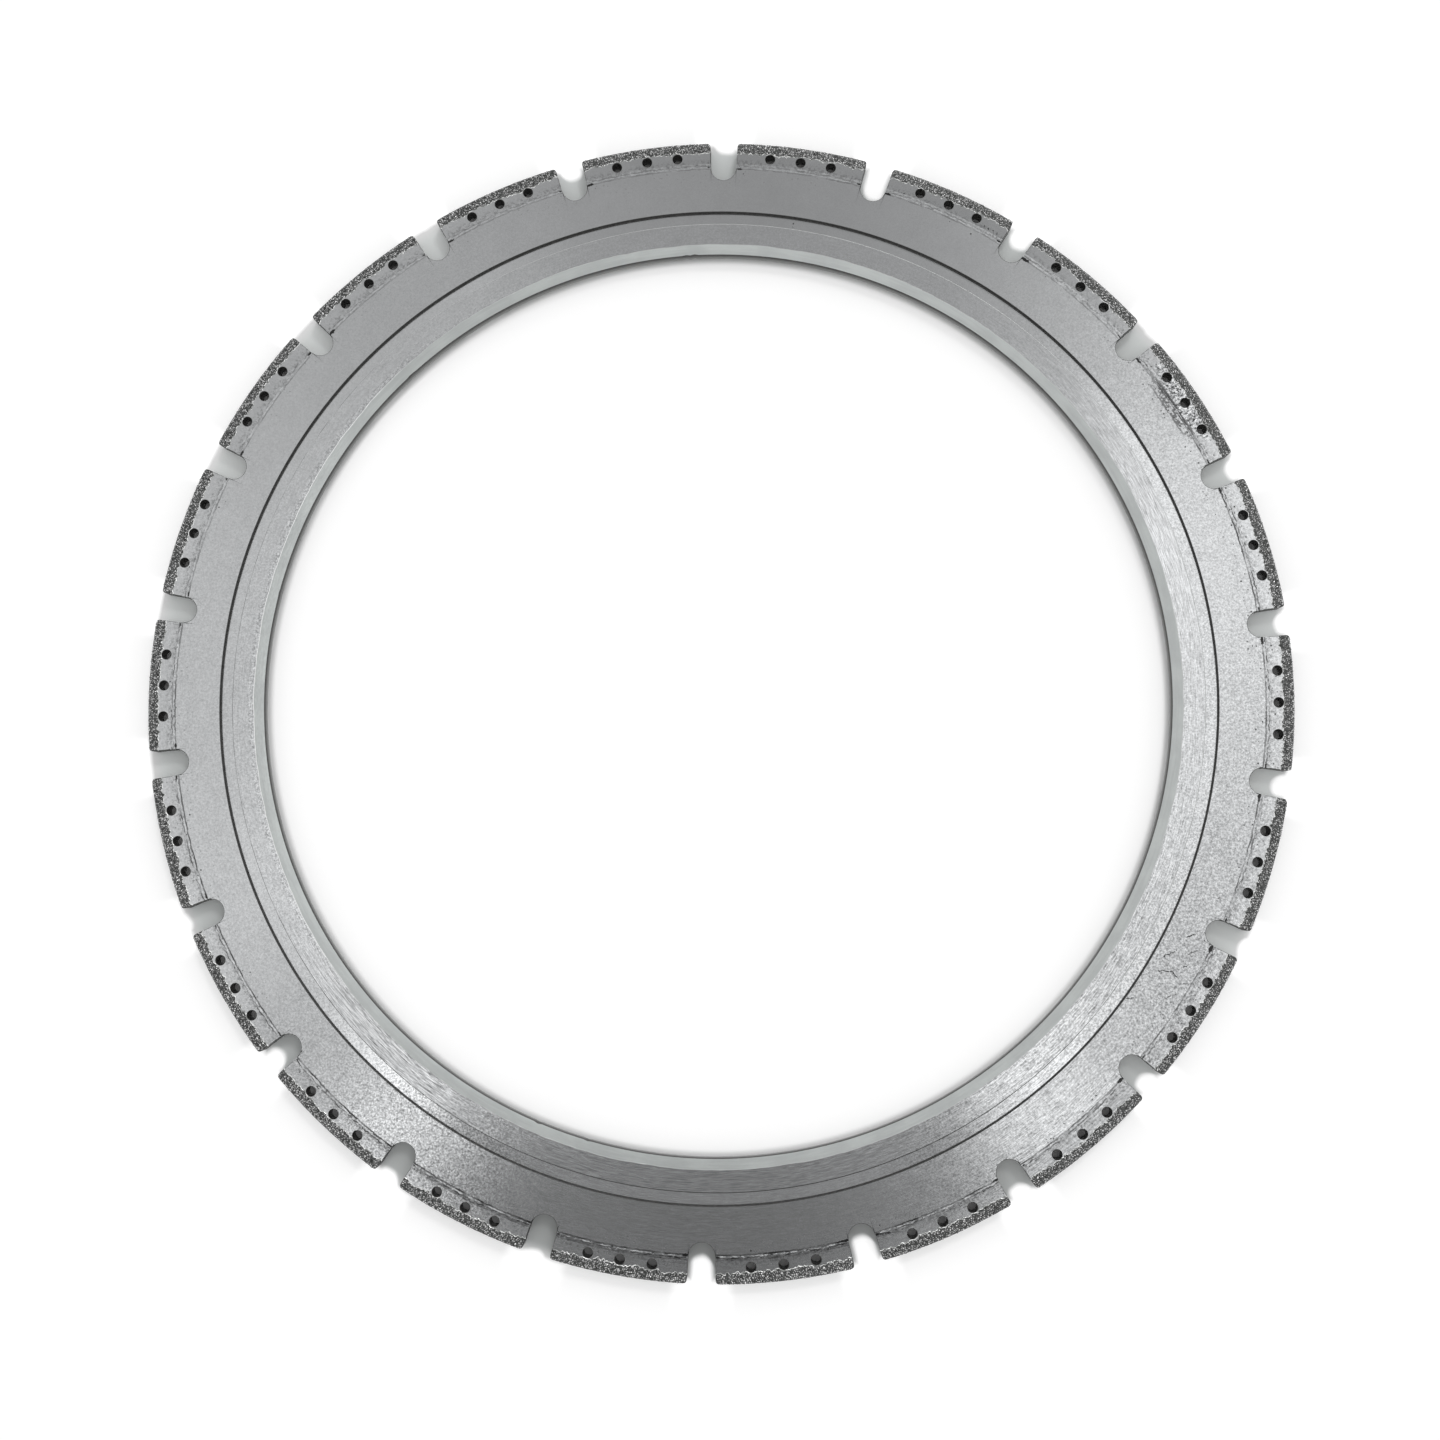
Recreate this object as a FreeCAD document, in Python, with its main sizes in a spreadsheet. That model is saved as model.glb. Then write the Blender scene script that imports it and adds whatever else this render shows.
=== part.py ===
import FreeCAD, Part
import math
import os

import Sketcher

# Diamond ring saw blade: a turned steel ring with no centre, driven and held at its inner edge,
# with steel segments welded round its outside and a brazed diamond coat over each segment's rim.
# The origin is the ring's centre at mid thickness, +Z is the ring's axis, and one segment is
# centred on +X. Lengths are in millimetres and angles in degrees.

# Driving dimensions, as name, value and meaning
dimension_rows = [
    ("blade_diameter", 350.0, "over the diamond coat"),
    ("ring_width", 36.4, "from the rim to the bore"),
    ("core_thickness", 4.0, "steel ring between its two faces"),
    ("drive_edge_width", 3.2, "conical flank beside the bore, measured on the radius"),
    ("drive_edge_drop", 0.5, "how far the flank falls from the face to the bore"),
    ("land_width", 6.7, "flat land between the flank and the roller groove"),
    ("groove_width", 3.9, "roller groove, wall to wall"),
    ("groove_depth", 1.0, "roller groove below the face"),
    ("segment_count", 22, "segments round the ring"),
    ("segment_height", 8.1, "from the rim to the weld"),
    ("segment_gap", 8.2, "between two segments, at the weld"),
    ("segment_thickness", 4.2, "steel of a segment"),
    ("corner_chamfer", 0.7, "outer corners of a segment"),
    ("hole_count", 3, "drilled holes in a segment"),
    ("hole_diameter", 3.0, "drilled hole, from flat to flat"),
    ("hole_sides", 10, "flats that stand for a drilled hole's round wall, an even number"),
    ("hole_pitch", 9.65, "from hole to hole, along their circle"),
    ("hole_inset", 4.9, "from the rim to the centre of a hole"),
    ("gullet_ledge", 0.15, "how far the core stands out past a segment's end"),
    ("gullet_depth", 4.1, "from the weld to the bottom of a gullet"),
    ("coat_thickness", 0.3, "diamond coat over the steel"),
    ("coat_band", 3.3, "height of the coat on a segment's face"),
]

# Radii and angles that follow from the dimensions, as expressions
rim_radius = "Dimensions.blade_diameter / 2"
bore_radius = f"({rim_radius} - Dimensions.ring_width)"
flank_radius = f"({bore_radius} + Dimensions.drive_edge_width)"
groove_inner_radius = f"({flank_radius} + Dimensions.land_width)"
groove_outer_radius = f"({groove_inner_radius} + Dimensions.groove_width)"
weld_radius = f"({rim_radius} - Dimensions.segment_height)"
steel_rim_radius = f"({rim_radius} - Dimensions.coat_thickness)"
coat_inner_radius = f"({rim_radius} - Dimensions.coat_band)"
hole_circle_radius = f"({rim_radius} - Dimensions.hole_inset)"
hole_step = f"2 * asin(Dimensions.hole_pitch / 2 / {hole_circle_radius})"
gap_angle = f"2 * asin(Dimensions.segment_gap / 2 / {weld_radius})"
segment_angle = f"360 / Dimensions.segment_count * 1 deg - {gap_angle}"
gullet_radius = "(Dimensions.segment_gap / 2 - Dimensions.gullet_ledge)"
gullet_centre_radius = f"({weld_radius} - Dimensions.gullet_depth + {gullet_radius})"
core_half = "Dimensions.core_thickness / 2"
steel_half = "Dimensions.segment_thickness / 2"
coat_half = f"({steel_half} + Dimensions.coat_thickness)"

doc = FreeCAD.newDocument("RingSawBlade")


def make_sheet():
    """Puts each driving dimension in a cell with its name as alias."""
    sheet = doc.addObject("Spreadsheet::Sheet", "Dimensions")
    for row, (name, value, meaning) in enumerate(dimension_rows, start=1):
        sheet.set(f"A{row}", name)
        sheet.set(f"B{row}", str(value))
        sheet.set(f"C{row}", meaning)
        sheet.setAlias(f"B{row}", name)
    doc.recompute()
    return sheet


sheet = make_sheet()


def origin_feature(body, role):
    """Returns the body's own origin plane or axis with that role."""
    for feature in body.Origin.OriginFeatures:
        if feature.Role == role:
            return feature
    raise ValueError(f"{body.Label} has no {role}")


def make_body(label):
    body = doc.addObject("PartDesign::Body", label)
    body.Label = label
    return body


def make_sketch(body, name, plane):
    sketch = body.newObject("Sketcher::SketchObject", name)
    sketch.AttachmentSupport = [(origin_feature(body, plane), "")]
    sketch.MapMode = "FlatFace"
    return sketch


def value_of(expression):
    """Works an expression out, for where a sketch's points and sizes start."""
    return float(sheet.evalExpression(expression))


def constrain(sketch, kind, *where, size=None):
    """Adds a constraint, bound to an expression where a size is given."""
    if size is None:
        sketch.addConstraint(Sketcher.Constraint(kind, *where))
        return
    index = sketch.addConstraint(Sketcher.Constraint(kind, *where, value_of(size)))
    sketch.setExpression(f"Constraints[{index}]", size)


# A curve's own points and the sketch's axes, as the sketcher counts them
start_point, end_point, centre_point = range(1, 4)
horizontal_axis, vertical_axis = -1, -2
origin_point = (horizontal_axis, start_point)


def add_polygon(sketch, points):
    """Draws a closed outline through the points and joins its lines end to end."""
    count = len(points)
    for index in range(count):
        here = FreeCAD.Vector(*points[index], 0)
        there = FreeCAD.Vector(*points[(index + 1) % count], 0)
        sketch.addGeometry(Part.LineSegment(here, there))
    for index in range(count):
        constrain(sketch, "Coincident", index, end_point, (index + 1) % count, start_point)


def add_section(sketch, corners):
    """Draws a section that is the same above and below the mid plane.

    Each corner is its radius and its height over the mid plane, as expressions. The lower half
    repeats the corners in reverse.
    """
    upper = [(value_of(radius), value_of(height)) for radius, height in corners]
    lower = [(x, -y) for x, y in reversed(upper)]
    add_polygon(sketch, upper + lower)
    last = 2 * len(corners) - 1
    for index, (radius, height) in enumerate(corners):
        twin = last - index
        constrain(sketch, "Symmetric", index, start_point, twin, start_point, horizontal_axis)
        constrain(sketch, "DistanceX", *origin_point, index, start_point, size=radius)
        constrain(sketch, "DistanceY", *origin_point, index, start_point, size=height)


def revolve(body, sketch, name, angle=None):
    """Turns a section about the ring's axis, through a full turn or evenly about the XZ plane."""
    feature = body.newObject("PartDesign::Revolution", name)
    feature.Profile = sketch
    feature.ReferenceAxis = (sketch, ["V_Axis"])
    if angle is None:
        feature.Angle = 360
    else:
        feature.Midplane = True
        feature.setExpression("Angle", angle)
    return feature


def edges_at(shape, wanted):
    """Names the edges for which wanted(edge) is true."""
    return [f"Edge{number}" for number, edge in enumerate(shape.Edges, start=1) if wanted(edge)]


def is_upright(edge):
    """True for a straight edge that runs along the ring's axis."""
    if not isinstance(edge.Curve, Part.Line):
        return False
    return abs(edge.Curve.Direction.z) > 0.999


def radius_of(point):
    return math.hypot(point.x, point.y)


def chamfer_rim_corners(body, base, radius):
    """Breaks the upright edges where a segment's two ends meet its rim."""
    doc.recompute()
    rim = value_of(radius)
    corners = edges_at(
        base.Shape,
        lambda edge: is_upright(edge) and abs(radius_of(edge.CenterOfMass) - rim) < 0.01,
    )
    chamfer = body.newObject("PartDesign::Chamfer", "RimCorners")
    chamfer.Base = (base, corners)
    chamfer.setExpression("Size", "Dimensions.corner_chamfer")
    return chamfer


def turned_ring(body):
    """The core's turned section: bore, conical drive edge, land, roller groove and web."""
    sketch = make_sketch(body, "CoreSection", "XZ_Plane")
    edge_half = f"({core_half} - Dimensions.drive_edge_drop)"
    floor_half = f"({core_half} - Dimensions.groove_depth)"
    add_section(sketch, [
        (bore_radius, edge_half),
        (flank_radius, core_half),
        (groove_inner_radius, core_half),
        (groove_inner_radius, floor_half),
        (groove_outer_radius, floor_half),
        (groove_outer_radius, core_half),
        (weld_radius, core_half),
    ])
    return revolve(body, sketch, "TurnedRing")


def gullet(body):
    """One U-shaped slot in the core's rim, centred on +Y, between two segments."""
    sketch = make_sketch(body, "GulletOutline", "XY_Plane")
    radius = value_of(gullet_radius)
    centre = value_of(gullet_centre_radius)
    top = value_of(rim_radius)
    corner = FreeCAD.Vector
    sketch.addGeometry(Part.LineSegment(corner(-radius, top, 0), corner(-radius, centre, 0)))
    circle = Part.Circle(corner(0, centre, 0), corner(0, 0, 1), radius)
    sketch.addGeometry(Part.ArcOfCircle(circle, math.pi, 2 * math.pi))
    sketch.addGeometry(Part.LineSegment(corner(radius, centre, 0), corner(radius, top, 0)))
    sketch.addGeometry(Part.LineSegment(corner(radius, top, 0), corner(-radius, top, 0)))
    left_side, bottom, right_side, mouth = range(4)
    constrain(sketch, "Tangent", left_side, end_point, bottom, start_point)
    constrain(sketch, "Tangent", bottom, end_point, right_side, start_point)
    constrain(sketch, "Coincident", right_side, end_point, mouth, start_point)
    constrain(sketch, "Coincident", mouth, end_point, left_side, start_point)
    constrain(sketch, "Vertical", left_side)
    constrain(sketch, "Vertical", right_side)
    constrain(sketch, "Horizontal", mouth)
    constrain(sketch, "PointOnObject", bottom, centre_point, vertical_axis)
    constrain(sketch, "Radius", bottom, size=gullet_radius)
    constrain(sketch, "DistanceY", *origin_point, bottom, centre_point, size=gullet_centre_radius)
    constrain(sketch, "DistanceY", *origin_point, mouth, start_point, size=rim_radius)
    return through_pocket(body, sketch, "Gullet")


def through_pocket(body, sketch, name):
    """Cuts an outline drawn on the mid plane through both faces."""
    pocket = body.newObject("PartDesign::Pocket", name)
    pocket.Profile = sketch
    pocket.Type = "ThroughAll"
    pocket.Midplane = True
    return pocket


def polar_pattern(body, name, originals=None):
    """Repeats features about the ring's axis, or the whole piece where none are given."""
    doc.recompute()
    pattern = body.newObject("PartDesign::PolarPattern", name)
    if originals is None:
        pattern.TransformMode = "Whole shape"
    else:
        pattern.Originals = originals
    pattern.Axis = (origin_feature(body, "Z_Axis"), [""])
    body.Tip = pattern
    return pattern


def repeat_round_ring(body, name, originals=None):
    pattern = polar_pattern(body, name, originals)
    pattern.Angle = 360
    pattern.setExpression("Occurrences", "Dimensions.segment_count")
    return pattern


def make_blade_core():
    body = make_body("blade_core")
    turned_ring(body)
    repeat_round_ring(body, "Gullets", [gullet(body)])
    return body


def add_regular_polygon(sketch, across, down, size, sides):
    """Draws a regular polygon on a construction circle, with its first side along Y.

    across and down place its centre from the origin, and size is its width from flat to flat.
    """
    corner_radius = f"{size} / 2 / cos(180 deg / {sides})"
    radius = value_of(corner_radius)
    middle = FreeCAD.Vector(value_of(across), -value_of(down), 0)
    count = int(value_of(sides))
    half_turn = math.pi / count
    corners = [
        (
            middle.x + radius * math.cos(half_turn * (2 * index - 1)),
            middle.y + radius * math.sin(half_turn * (2 * index - 1)),
        )
        for index in range(count)
    ]
    add_polygon(sketch, corners)
    guide = sketch.addGeometry(Part.Circle(middle, FreeCAD.Vector(0, 0, 1), radius), True)
    for index in range(count):
        constrain(sketch, "PointOnObject", index, start_point, guide)
    for index in range(1, count):
        constrain(sketch, "Equal", 0, index)
    constrain(sketch, "Vertical", 0)
    constrain(sketch, "Radius", guide, size=corner_radius)
    constrain(sketch, "DistanceX", *origin_point, guide, centre_point, size=across)
    constrain(sketch, "DistanceY", guide, centre_point, *origin_point, size=down)


def drill_holes(body):
    """Cuts the row of drilled holes through a segment, evenly about its middle.

    Flats stand for each round wall, which keeps the mesh of all the segments light.
    """
    outline = make_sketch(body, "HoleOutline", "XY_Plane")
    first_hole = f"({hole_step}) * (Dimensions.hole_count - 1) / 2"
    across = f"{hole_circle_radius} * cos({first_hole})"
    down = f"{hole_circle_radius} * sin({first_hole})"
    size = "Dimensions.hole_diameter"
    add_regular_polygon(outline, across, down, size, "Dimensions.hole_sides")
    holes = polar_pattern(body, "DrilledHoles", [through_pocket(body, outline, "DrilledHole")])
    holes.Mode = "Spacing"
    holes.setExpression("Offset", hole_step)
    holes.setExpression("Occurrences", "Dimensions.hole_count")


def make_segments():
    """The steel segments: radial ends, seated on the core at the weld and drilled through."""
    body = make_body("segments")
    body.AllowCompound = True
    sketch = make_sketch(body, "SegmentSection", "XZ_Plane")
    add_section(sketch, [(weld_radius, steel_half), (steel_rim_radius, steel_half)])
    blank = revolve(body, sketch, "SegmentBlank", segment_angle)
    chamfer_rim_corners(body, blank, steel_rim_radius)
    drill_holes(body)
    repeat_round_ring(body, "Segments")
    return body


def make_diamond_coats():
    """The brazed coat: a channel over each segment's rim and the outer part of both its faces."""
    body = make_body("diamond_coats")
    body.AllowCompound = True
    sketch = make_sketch(body, "CoatSection", "XZ_Plane")
    add_section(sketch, [(coat_inner_radius, coat_half), (rim_radius, coat_half)])
    band = revolve(body, sketch, "CoatBand", segment_angle)
    chamfer_rim_corners(body, band, rim_radius)

    channel = make_sketch(body, "ChannelSection", "XZ_Plane")
    add_section(channel, [(coat_inner_radius, steel_half), (steel_rim_radius, steel_half)])
    seat = body.newObject("PartDesign::Groove", "SegmentSeat")
    seat.Profile = channel
    seat.ReferenceAxis = (channel, ["V_Axis"])
    seat.Midplane = True
    seat.setExpression("Angle", segment_angle)
    repeat_round_ring(body, "Coats")
    return body


def check_document(solid_counts):
    """Stops unless every object is sound and every piece has its number of valid solids."""
    for item in doc.Objects:
        if "Invalid" in item.State or "Error" in item.State:
            raise RuntimeError(f"{item.Label} failed: {item.State}")
    for body, count in solid_counts.items():
        shape = body.Shape
        if shape.isNull() or not shape.isValid() or len(shape.Solids) != count:
            raise RuntimeError(f"{body.Label} isn't {count} valid solids")


segment_total = int(sheet.segment_count)
solid_counts = {
    make_blade_core(): 1,
    make_segments(): segment_total,
    make_diamond_coats(): segment_total,
}
doc.recompute()
check_document(solid_counts)

os.makedirs("parts", exist_ok=True)
for body in solid_counts:
    body.Shape.exportStep(f"parts/{body.Label}.step")
    print(f"{body.Label}: {len(body.Shape.Solids)} solids, {body.Shape.Volume:.1f} mm3")
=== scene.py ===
import itertools
import math

import bpy
import numpy as np
from mathutils import Matrix, Vector, geometry


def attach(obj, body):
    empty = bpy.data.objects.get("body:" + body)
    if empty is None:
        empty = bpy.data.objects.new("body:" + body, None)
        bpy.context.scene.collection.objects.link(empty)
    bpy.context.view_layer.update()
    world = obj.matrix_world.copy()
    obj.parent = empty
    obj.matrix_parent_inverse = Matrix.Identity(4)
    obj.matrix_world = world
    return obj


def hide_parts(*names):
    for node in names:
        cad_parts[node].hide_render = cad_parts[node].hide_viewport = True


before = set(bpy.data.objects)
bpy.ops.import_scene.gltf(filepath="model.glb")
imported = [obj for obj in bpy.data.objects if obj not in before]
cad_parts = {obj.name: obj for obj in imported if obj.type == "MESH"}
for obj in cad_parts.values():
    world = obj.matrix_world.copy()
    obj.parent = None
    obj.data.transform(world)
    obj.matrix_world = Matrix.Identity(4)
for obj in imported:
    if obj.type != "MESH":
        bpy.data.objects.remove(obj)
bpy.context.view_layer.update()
print("frame loaded")

# The blade's own sizes in millimetres, as in the CAD model
blade = dict(
    segments=22,
    rim=175.0,
    steelRim=174.7,
    weld=166.9,
    grooveOut=152.4,
    grooveIn=148.5,
    flank=141.8,
    bore=138.6,
    coreHalf=2.0,
    steelHalf=2.1,
    coatHalf=2.4,
    edgeDrop=0.5,
    grooveDepth=1.0,
    gap=8.2,
    gulletRadius=3.95,
    gulletCentre=166.75,
    coatInner=171.7,
    corner=0.7,
    holeCircle=170.1,
    holePitch=9.65,
    holeRadius=1.5,
    holes=3,
)
metre = 0.001
pitch = 2 * math.pi / blade["segments"]
segmentHalf = pitch / 2 - math.asin(blade["gap"] / 2 / blade["weld"])
holeStep = 2 * math.asin(blade["holePitch"] / 2 / blade["holeCircle"])
ringMiddle = 155.0  # sizes along the turn are true at this radius
holeAngles = (np.arange(blade["holes"]) - (blade["holes"] - 1) / 2) * holeStep

# Bands of the blade by radius: from, to, and how soft their edges are
bands = dict(
    flankCorner=(blade["flank"], 143.4, 0.5),
    land=(blade["flank"], blade["grooveIn"], 0.1),
    grooveEdge=(148.0, 149.0, 0.1),
    grooveFloor=(blade["grooveIn"] + 0.1, blade["grooveOut"] - 0.1, 0.01),
    gullets=(158.0, 174.0, 2.0),
    finePits=(161.5, 171.0, 2.5),
    pits=(163.5, 169.0, 1.5),
    sootSeam=(163.8, 167.6, 0.9),
    beads=(166.4, 167.6, 0.2),
    weldHeat=(167.0, 169.2, 0.7),
    holes=(168.2, 172.0, 0.1),
)


# Shader helpers

class Level:
    # A value over the surface; sums with it become math nodes of its tree
    def __init__(self, tree, socket):
        self.tree = tree
        self.socket = socket

    def __add__(self, other):
        return calc("ADD", self, other)

    def __sub__(self, other):
        return calc("SUBTRACT", self, other)

    def __rsub__(self, other):
        return calc("SUBTRACT", other, self)

    def __mul__(self, other):
        return calc("MULTIPLY", self, other)

    def __truediv__(self, other):
        return calc("DIVIDE", self, other)

    def __pow__(self, other):
        return calc("POWER", self, other)

    def __abs__(self):
        return calc("ABSOLUTE", self)


def addNode(tree, kind, **settings):
    node = tree.nodes.new(kind)
    for name, value in settings.items():
        setattr(node, name, value)
    return node


def setInput(socket, value):
    # Links a level, and sets anything else on the socket itself
    if isinstance(value, Level):
        value.tree.links.new(value.socket, socket)
    else:
        socket.default_value = value


def setInputs(node, values):
    for name, value in values.items():
        setInput(node.inputs[name], value)


def treeOf(*values):
    return next(value.tree for value in values if isinstance(value, Level))


def calc(operation, *values):
    tree = treeOf(*values)
    node = addNode(tree, "ShaderNodeMath", operation=operation)
    for socket, value in zip(node.inputs, values):
        setInput(socket, value)
    return Level(tree, node.outputs[0])


def larger(first, *others):
    for other in others:
        first = calc("MAXIMUM", first, other)
    return first


def fade(value, low, high, atLow=0.0, atHigh=1.0):
    # Runs smoothly from one level to another between low and high
    node = addNode(value.tree, "ShaderNodeMapRange", interpolation_type="SMOOTHSTEP")
    setInputs(node, {"Value": value, "From Min": low, "From Max": high, "To Min": atLow, "To Max": atHigh})
    return Level(value.tree, node.outputs["Result"])


def fadeOut(value, low, high):
    return fade(value, low, high, 1.0, 0.0)


def between(value, low, high, soft):
    # One inside the range, nought outside, with soft ends
    return fade(value, low - soft, low + soft) * fadeOut(value, high - soft, high + soft)


def blend(share, first, second, operation="MIX"):
    tree = treeOf(share, first, second)
    node = addNode(tree, "ShaderNodeMix", data_type="RGBA", blend_type=operation)
    setInputs(node, {"Factor": share, "A": first, "B": second})
    return Level(tree, node.outputs["Result"])


def shades(value, stops):
    # A colour ramp: each stop is a place and a grey or a colour
    node = addNode(value.tree, "ShaderNodeValToRGB")
    elements = node.color_ramp.elements
    while len(elements) < len(stops):
        elements.new(0.5)
    for element, (place, shade) in zip(elements, stops):
        element.position = place
        element.color = (*shade, 1) if isinstance(shade, tuple) else (shade, shade, shade, 1)
    setInput(node.inputs[0], value)
    return Level(value.tree, node.outputs[0])


def noise(place, detail=2.0, roughness=0.5, scale=1.0):
    node = addNode(place.tree, "ShaderNodeTexNoise")
    setInputs(node, {"Vector": place, "Scale": scale, "Detail": detail, "Roughness": roughness})
    return Level(place.tree, node.outputs["Fac"])


def byAngle(angle, stops):
    # A value by the angle round the ring, its stops in degrees
    share = calc("FRACT", angle / (2 * math.pi) + 1.0)
    return shades(share, [(degrees / 360, level) for degrees, level in stops])


def split(value, kind="XYZ"):
    # The three parts of a place or of a colour
    node = addNode(value.tree, "ShaderNodeSeparate" + kind)
    setInput(node.inputs[0], value)
    return [Level(value.tree, output) for output in node.outputs]


class Ring:
    # Where a point lies on the blade, in millimetres
    def __init__(self, tree):
        self.tree = tree
        place = Level(tree, addNode(tree, "ShaderNodeTexCoord").outputs["Object"])
        scale = addNode(tree, "ShaderNodeVectorMath", operation="SCALE")
        setInputs(scale, {"Vector": place, "Scale": 1 / metre})
        self.place = Level(tree, scale.outputs["Vector"])
        self.x, self.y, self.z = split(self.place)
        self.radius = calc("SQRT", self.x * self.x + self.y * self.y)
        self.angle = calc("ARCTAN2", self.y, self.x)

    def grain(self, size, detail=2.0, roughness=0.5):
        # Noise of that size in millimetres
        return noise(self.place, detail, roughness, 1 / size)

    def turned(self, along, across=60.0, detail=2.0, roughness=0.5, shift=0.0):
        # Noise drawn out along the turn: its size along and across the lines
        join = addNode(self.tree, "ShaderNodeCombineXYZ")
        for socket, part in zip(join.inputs, (self.x, self.y)):
            setInput(socket, part / self.radius * (ringMiddle / along))
        setInput(join.inputs[2], self.radius / across + shift)
        return noise(Level(self.tree, join.outputs[0]), detail, roughness)

    def around(self, stops):
        return byAngle(self.angle, stops)

    def band(self, name):
        return between(self.radius, *bands[name])

    def alongSegment(self):
        # How far along its segment a point lies, from the segment's middle
        part = calc("FRACT", self.angle / pitch + (blade["segments"] + 0.5))
        return (part - 0.5) * (pitch * blade["weld"])

    def spot(self, angle, radius, heading, length, width=1.0):
        # How far along and across a mark a point lies, each 1 at the mark's edge
        node = addNode(self.tree, "ShaderNodeMapping", vector_type="TEXTURE")
        angle = math.radians(angle)
        setInputs(node, {
            "Vector": self.place,
            "Location": (radius * math.cos(angle), radius * math.sin(angle), 0),
            "Rotation": (0, 0, math.radians(heading)),
            "Scale": (length, width, 1),
        })
        return split(Level(self.tree, node.outputs[0]))[:2]

    def fromSpot(self, mark):
        # The square of the distance from a mark's middle, 1 at its edge
        along, across = self.spot(*mark)
        return along * along + across * across


def newMaterial(name):
    material = bpy.data.materials.new(name)
    material.use_nodes = True
    tree = material.node_tree
    return material, tree, tree.nodes["Principled BSDF"]


def bumpOn(height, distance, normal=None):
    node = addNode(height.tree, "ShaderNodeBump")
    setInputs(node, {"Distance": distance * metre, "Height": height})
    if normal is not None:
        setInput(node.inputs["Normal"], normal)
    return Level(height.tree, node.outputs[0])


# The steel

steelLook = dict(
    colour=(0.618, 0.628, 0.636, 1),
    level=0.96,
    dark=(0.045, 0.045, 0.045, 1),
    gloss={"Metallic": 1.0, "Anisotropic": 0.5, "Anisotropic Rotation": 0.25},
    roughness=0.16,
    markRoughness=0.3,
    reliefHeight=0.008,
    # Noises by size, detail and roughness; those of lines by size along and across first
    grainNoise=(0.6, 2.5, 0.75),
    lineNoise=(3.4, 0.2, 1.5),
    landLineNoise=(8.0, 0.3, 3.0, 0.7, 11.0),
    cloudNoise=(7.0, 3.0, 0.6),
    heatNoise=(0.8, 3.0, 0.7),
    heatPatches=(0.48, 0.6),
    speckle=3.6,
    landSpeckle=0.1,
    cloud=0.12,
    soot=0.75,
    landLines=[
        (0, 0.25), (30, 0.35), (60, 0.1), (120, 0.12), (160, 0.2), (205, 0.25), (218, 0.9),
        (236, 1.0), (244, 0.3), (252, 0.3), (290, 0.3), (300, 0.1), (312, 0.5), (335, 0.4),
        (360, 0.25),
    ],
    landLined=[
        (0, 0.4), (20, 0.8), (40, 0.6), (60, 0.2), (212, 0.2), (222, 0.8), (236, 0.8), (245, 0.2),
        (256, 0.9), (288, 0.9), (298, 0.4), (320, 0.5), (345, 0.4), (360, 0.4),
    ],
    landLineDepth=0.55,
    # How strong the speckle is round the ring, a painted sparkle strongest where the highlights fall, and
    # how far it is drawn into lines
    speckleAround=[
        (0, 0.62), (15, 0.46), (32, 0.46), (45, 0.28), (57, 0.09), (75, 0.045), (105, 0.06),
        (120, 0.145), (150, 0.16), (165, 0.27), (195, 0.34), (215, 0.38), (226, 0.6), (235, 1.0),
        (244, 1.0), (250, 0.4), (258, 0.22), (288, 0.24), (297, 0.75), (306, 1.0), (330, 0.95),
        (345, 0.75), (360, 0.62),
    ],
    # Painted glints along the flank's corner, by angle
    glintsAround=[(0, 0.05), (125, 0.05), (142, 0.5), (212, 0.45), (224, 0.1), (360, 0.05)],
    linesAround=[
        (0, 0.1), (40, 0.0), (150, 0.1), (215, 0.2), (232, 0.0), (246, 0.1), (256, 0.6),
        (272, 0.6), (288, 0.45), (298, 0.35), (306, 0.5), (317, 0.4), (327, 0.1), (345, 0.15),
        (360, 0.1),
    ],
    # The groove's floor leans outward a little; its tone and the land's by angle round the ring are
    # painted highlights and shade
    grooveSlope=-0.045,
    grooveLightAround=[
        (0, 0.56), (15, 0.52), (34, 0.58), (45, 0.44), (60, 0.4), (75, 0.48), (105, 0.48),
        (120, 0.58), (150, 0.52), (190, 0.49), (210, 0.56), (225, 0.68), (240, 0.56), (255, 0.74),
        (285, 0.7), (300, 0.46), (315, 0.6), (330, 0.63), (345, 0.6), (360, 0.56),
    ],
    landLightAround=[
        (0, 0.52), (30, 0.54), (45, 0.49), (60, 0.5), (75, 0.54), (105, 0.5), (120, 0.56),
        (150, 0.54), (180, 0.5), (210, 0.55), (225, 0.64), (240, 0.38), (255, 0.58), (285, 0.59),
        (300, 0.45), (315, 0.58), (345, 0.56), (360, 0.52),
    ],
    # The segments' tone by angle round the ring is painted light and shade
    segmentLightAround=[
        (0, 0.525), (15, 0.53), (30, 0.48), (45, 0.435), (60, 0.41), (75, 0.48), (90, 0.43),
        (105, 0.455), (120, 0.51), (135, 0.487), (150, 0.455), (165, 0.51), (180, 0.475),
        (210, 0.53), (225, 0.43), (240, 0.55), (255, 0.51), (285, 0.48), (300, 0.466), (315, 0.39),
        (330, 0.54), (345, 0.53), (360, 0.525),
    ],
    # How far weld heat dulls the steel beside the seam
    heat=0.3,
    # The blotched segment: angle, radius, turn, half length, half width
    blotchSpot=(33.0, 169.6, 123.0, 15.0, 2.8),
    blotchEdge=(0.5, 1.1),
    blotch=1.7,
)

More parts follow.
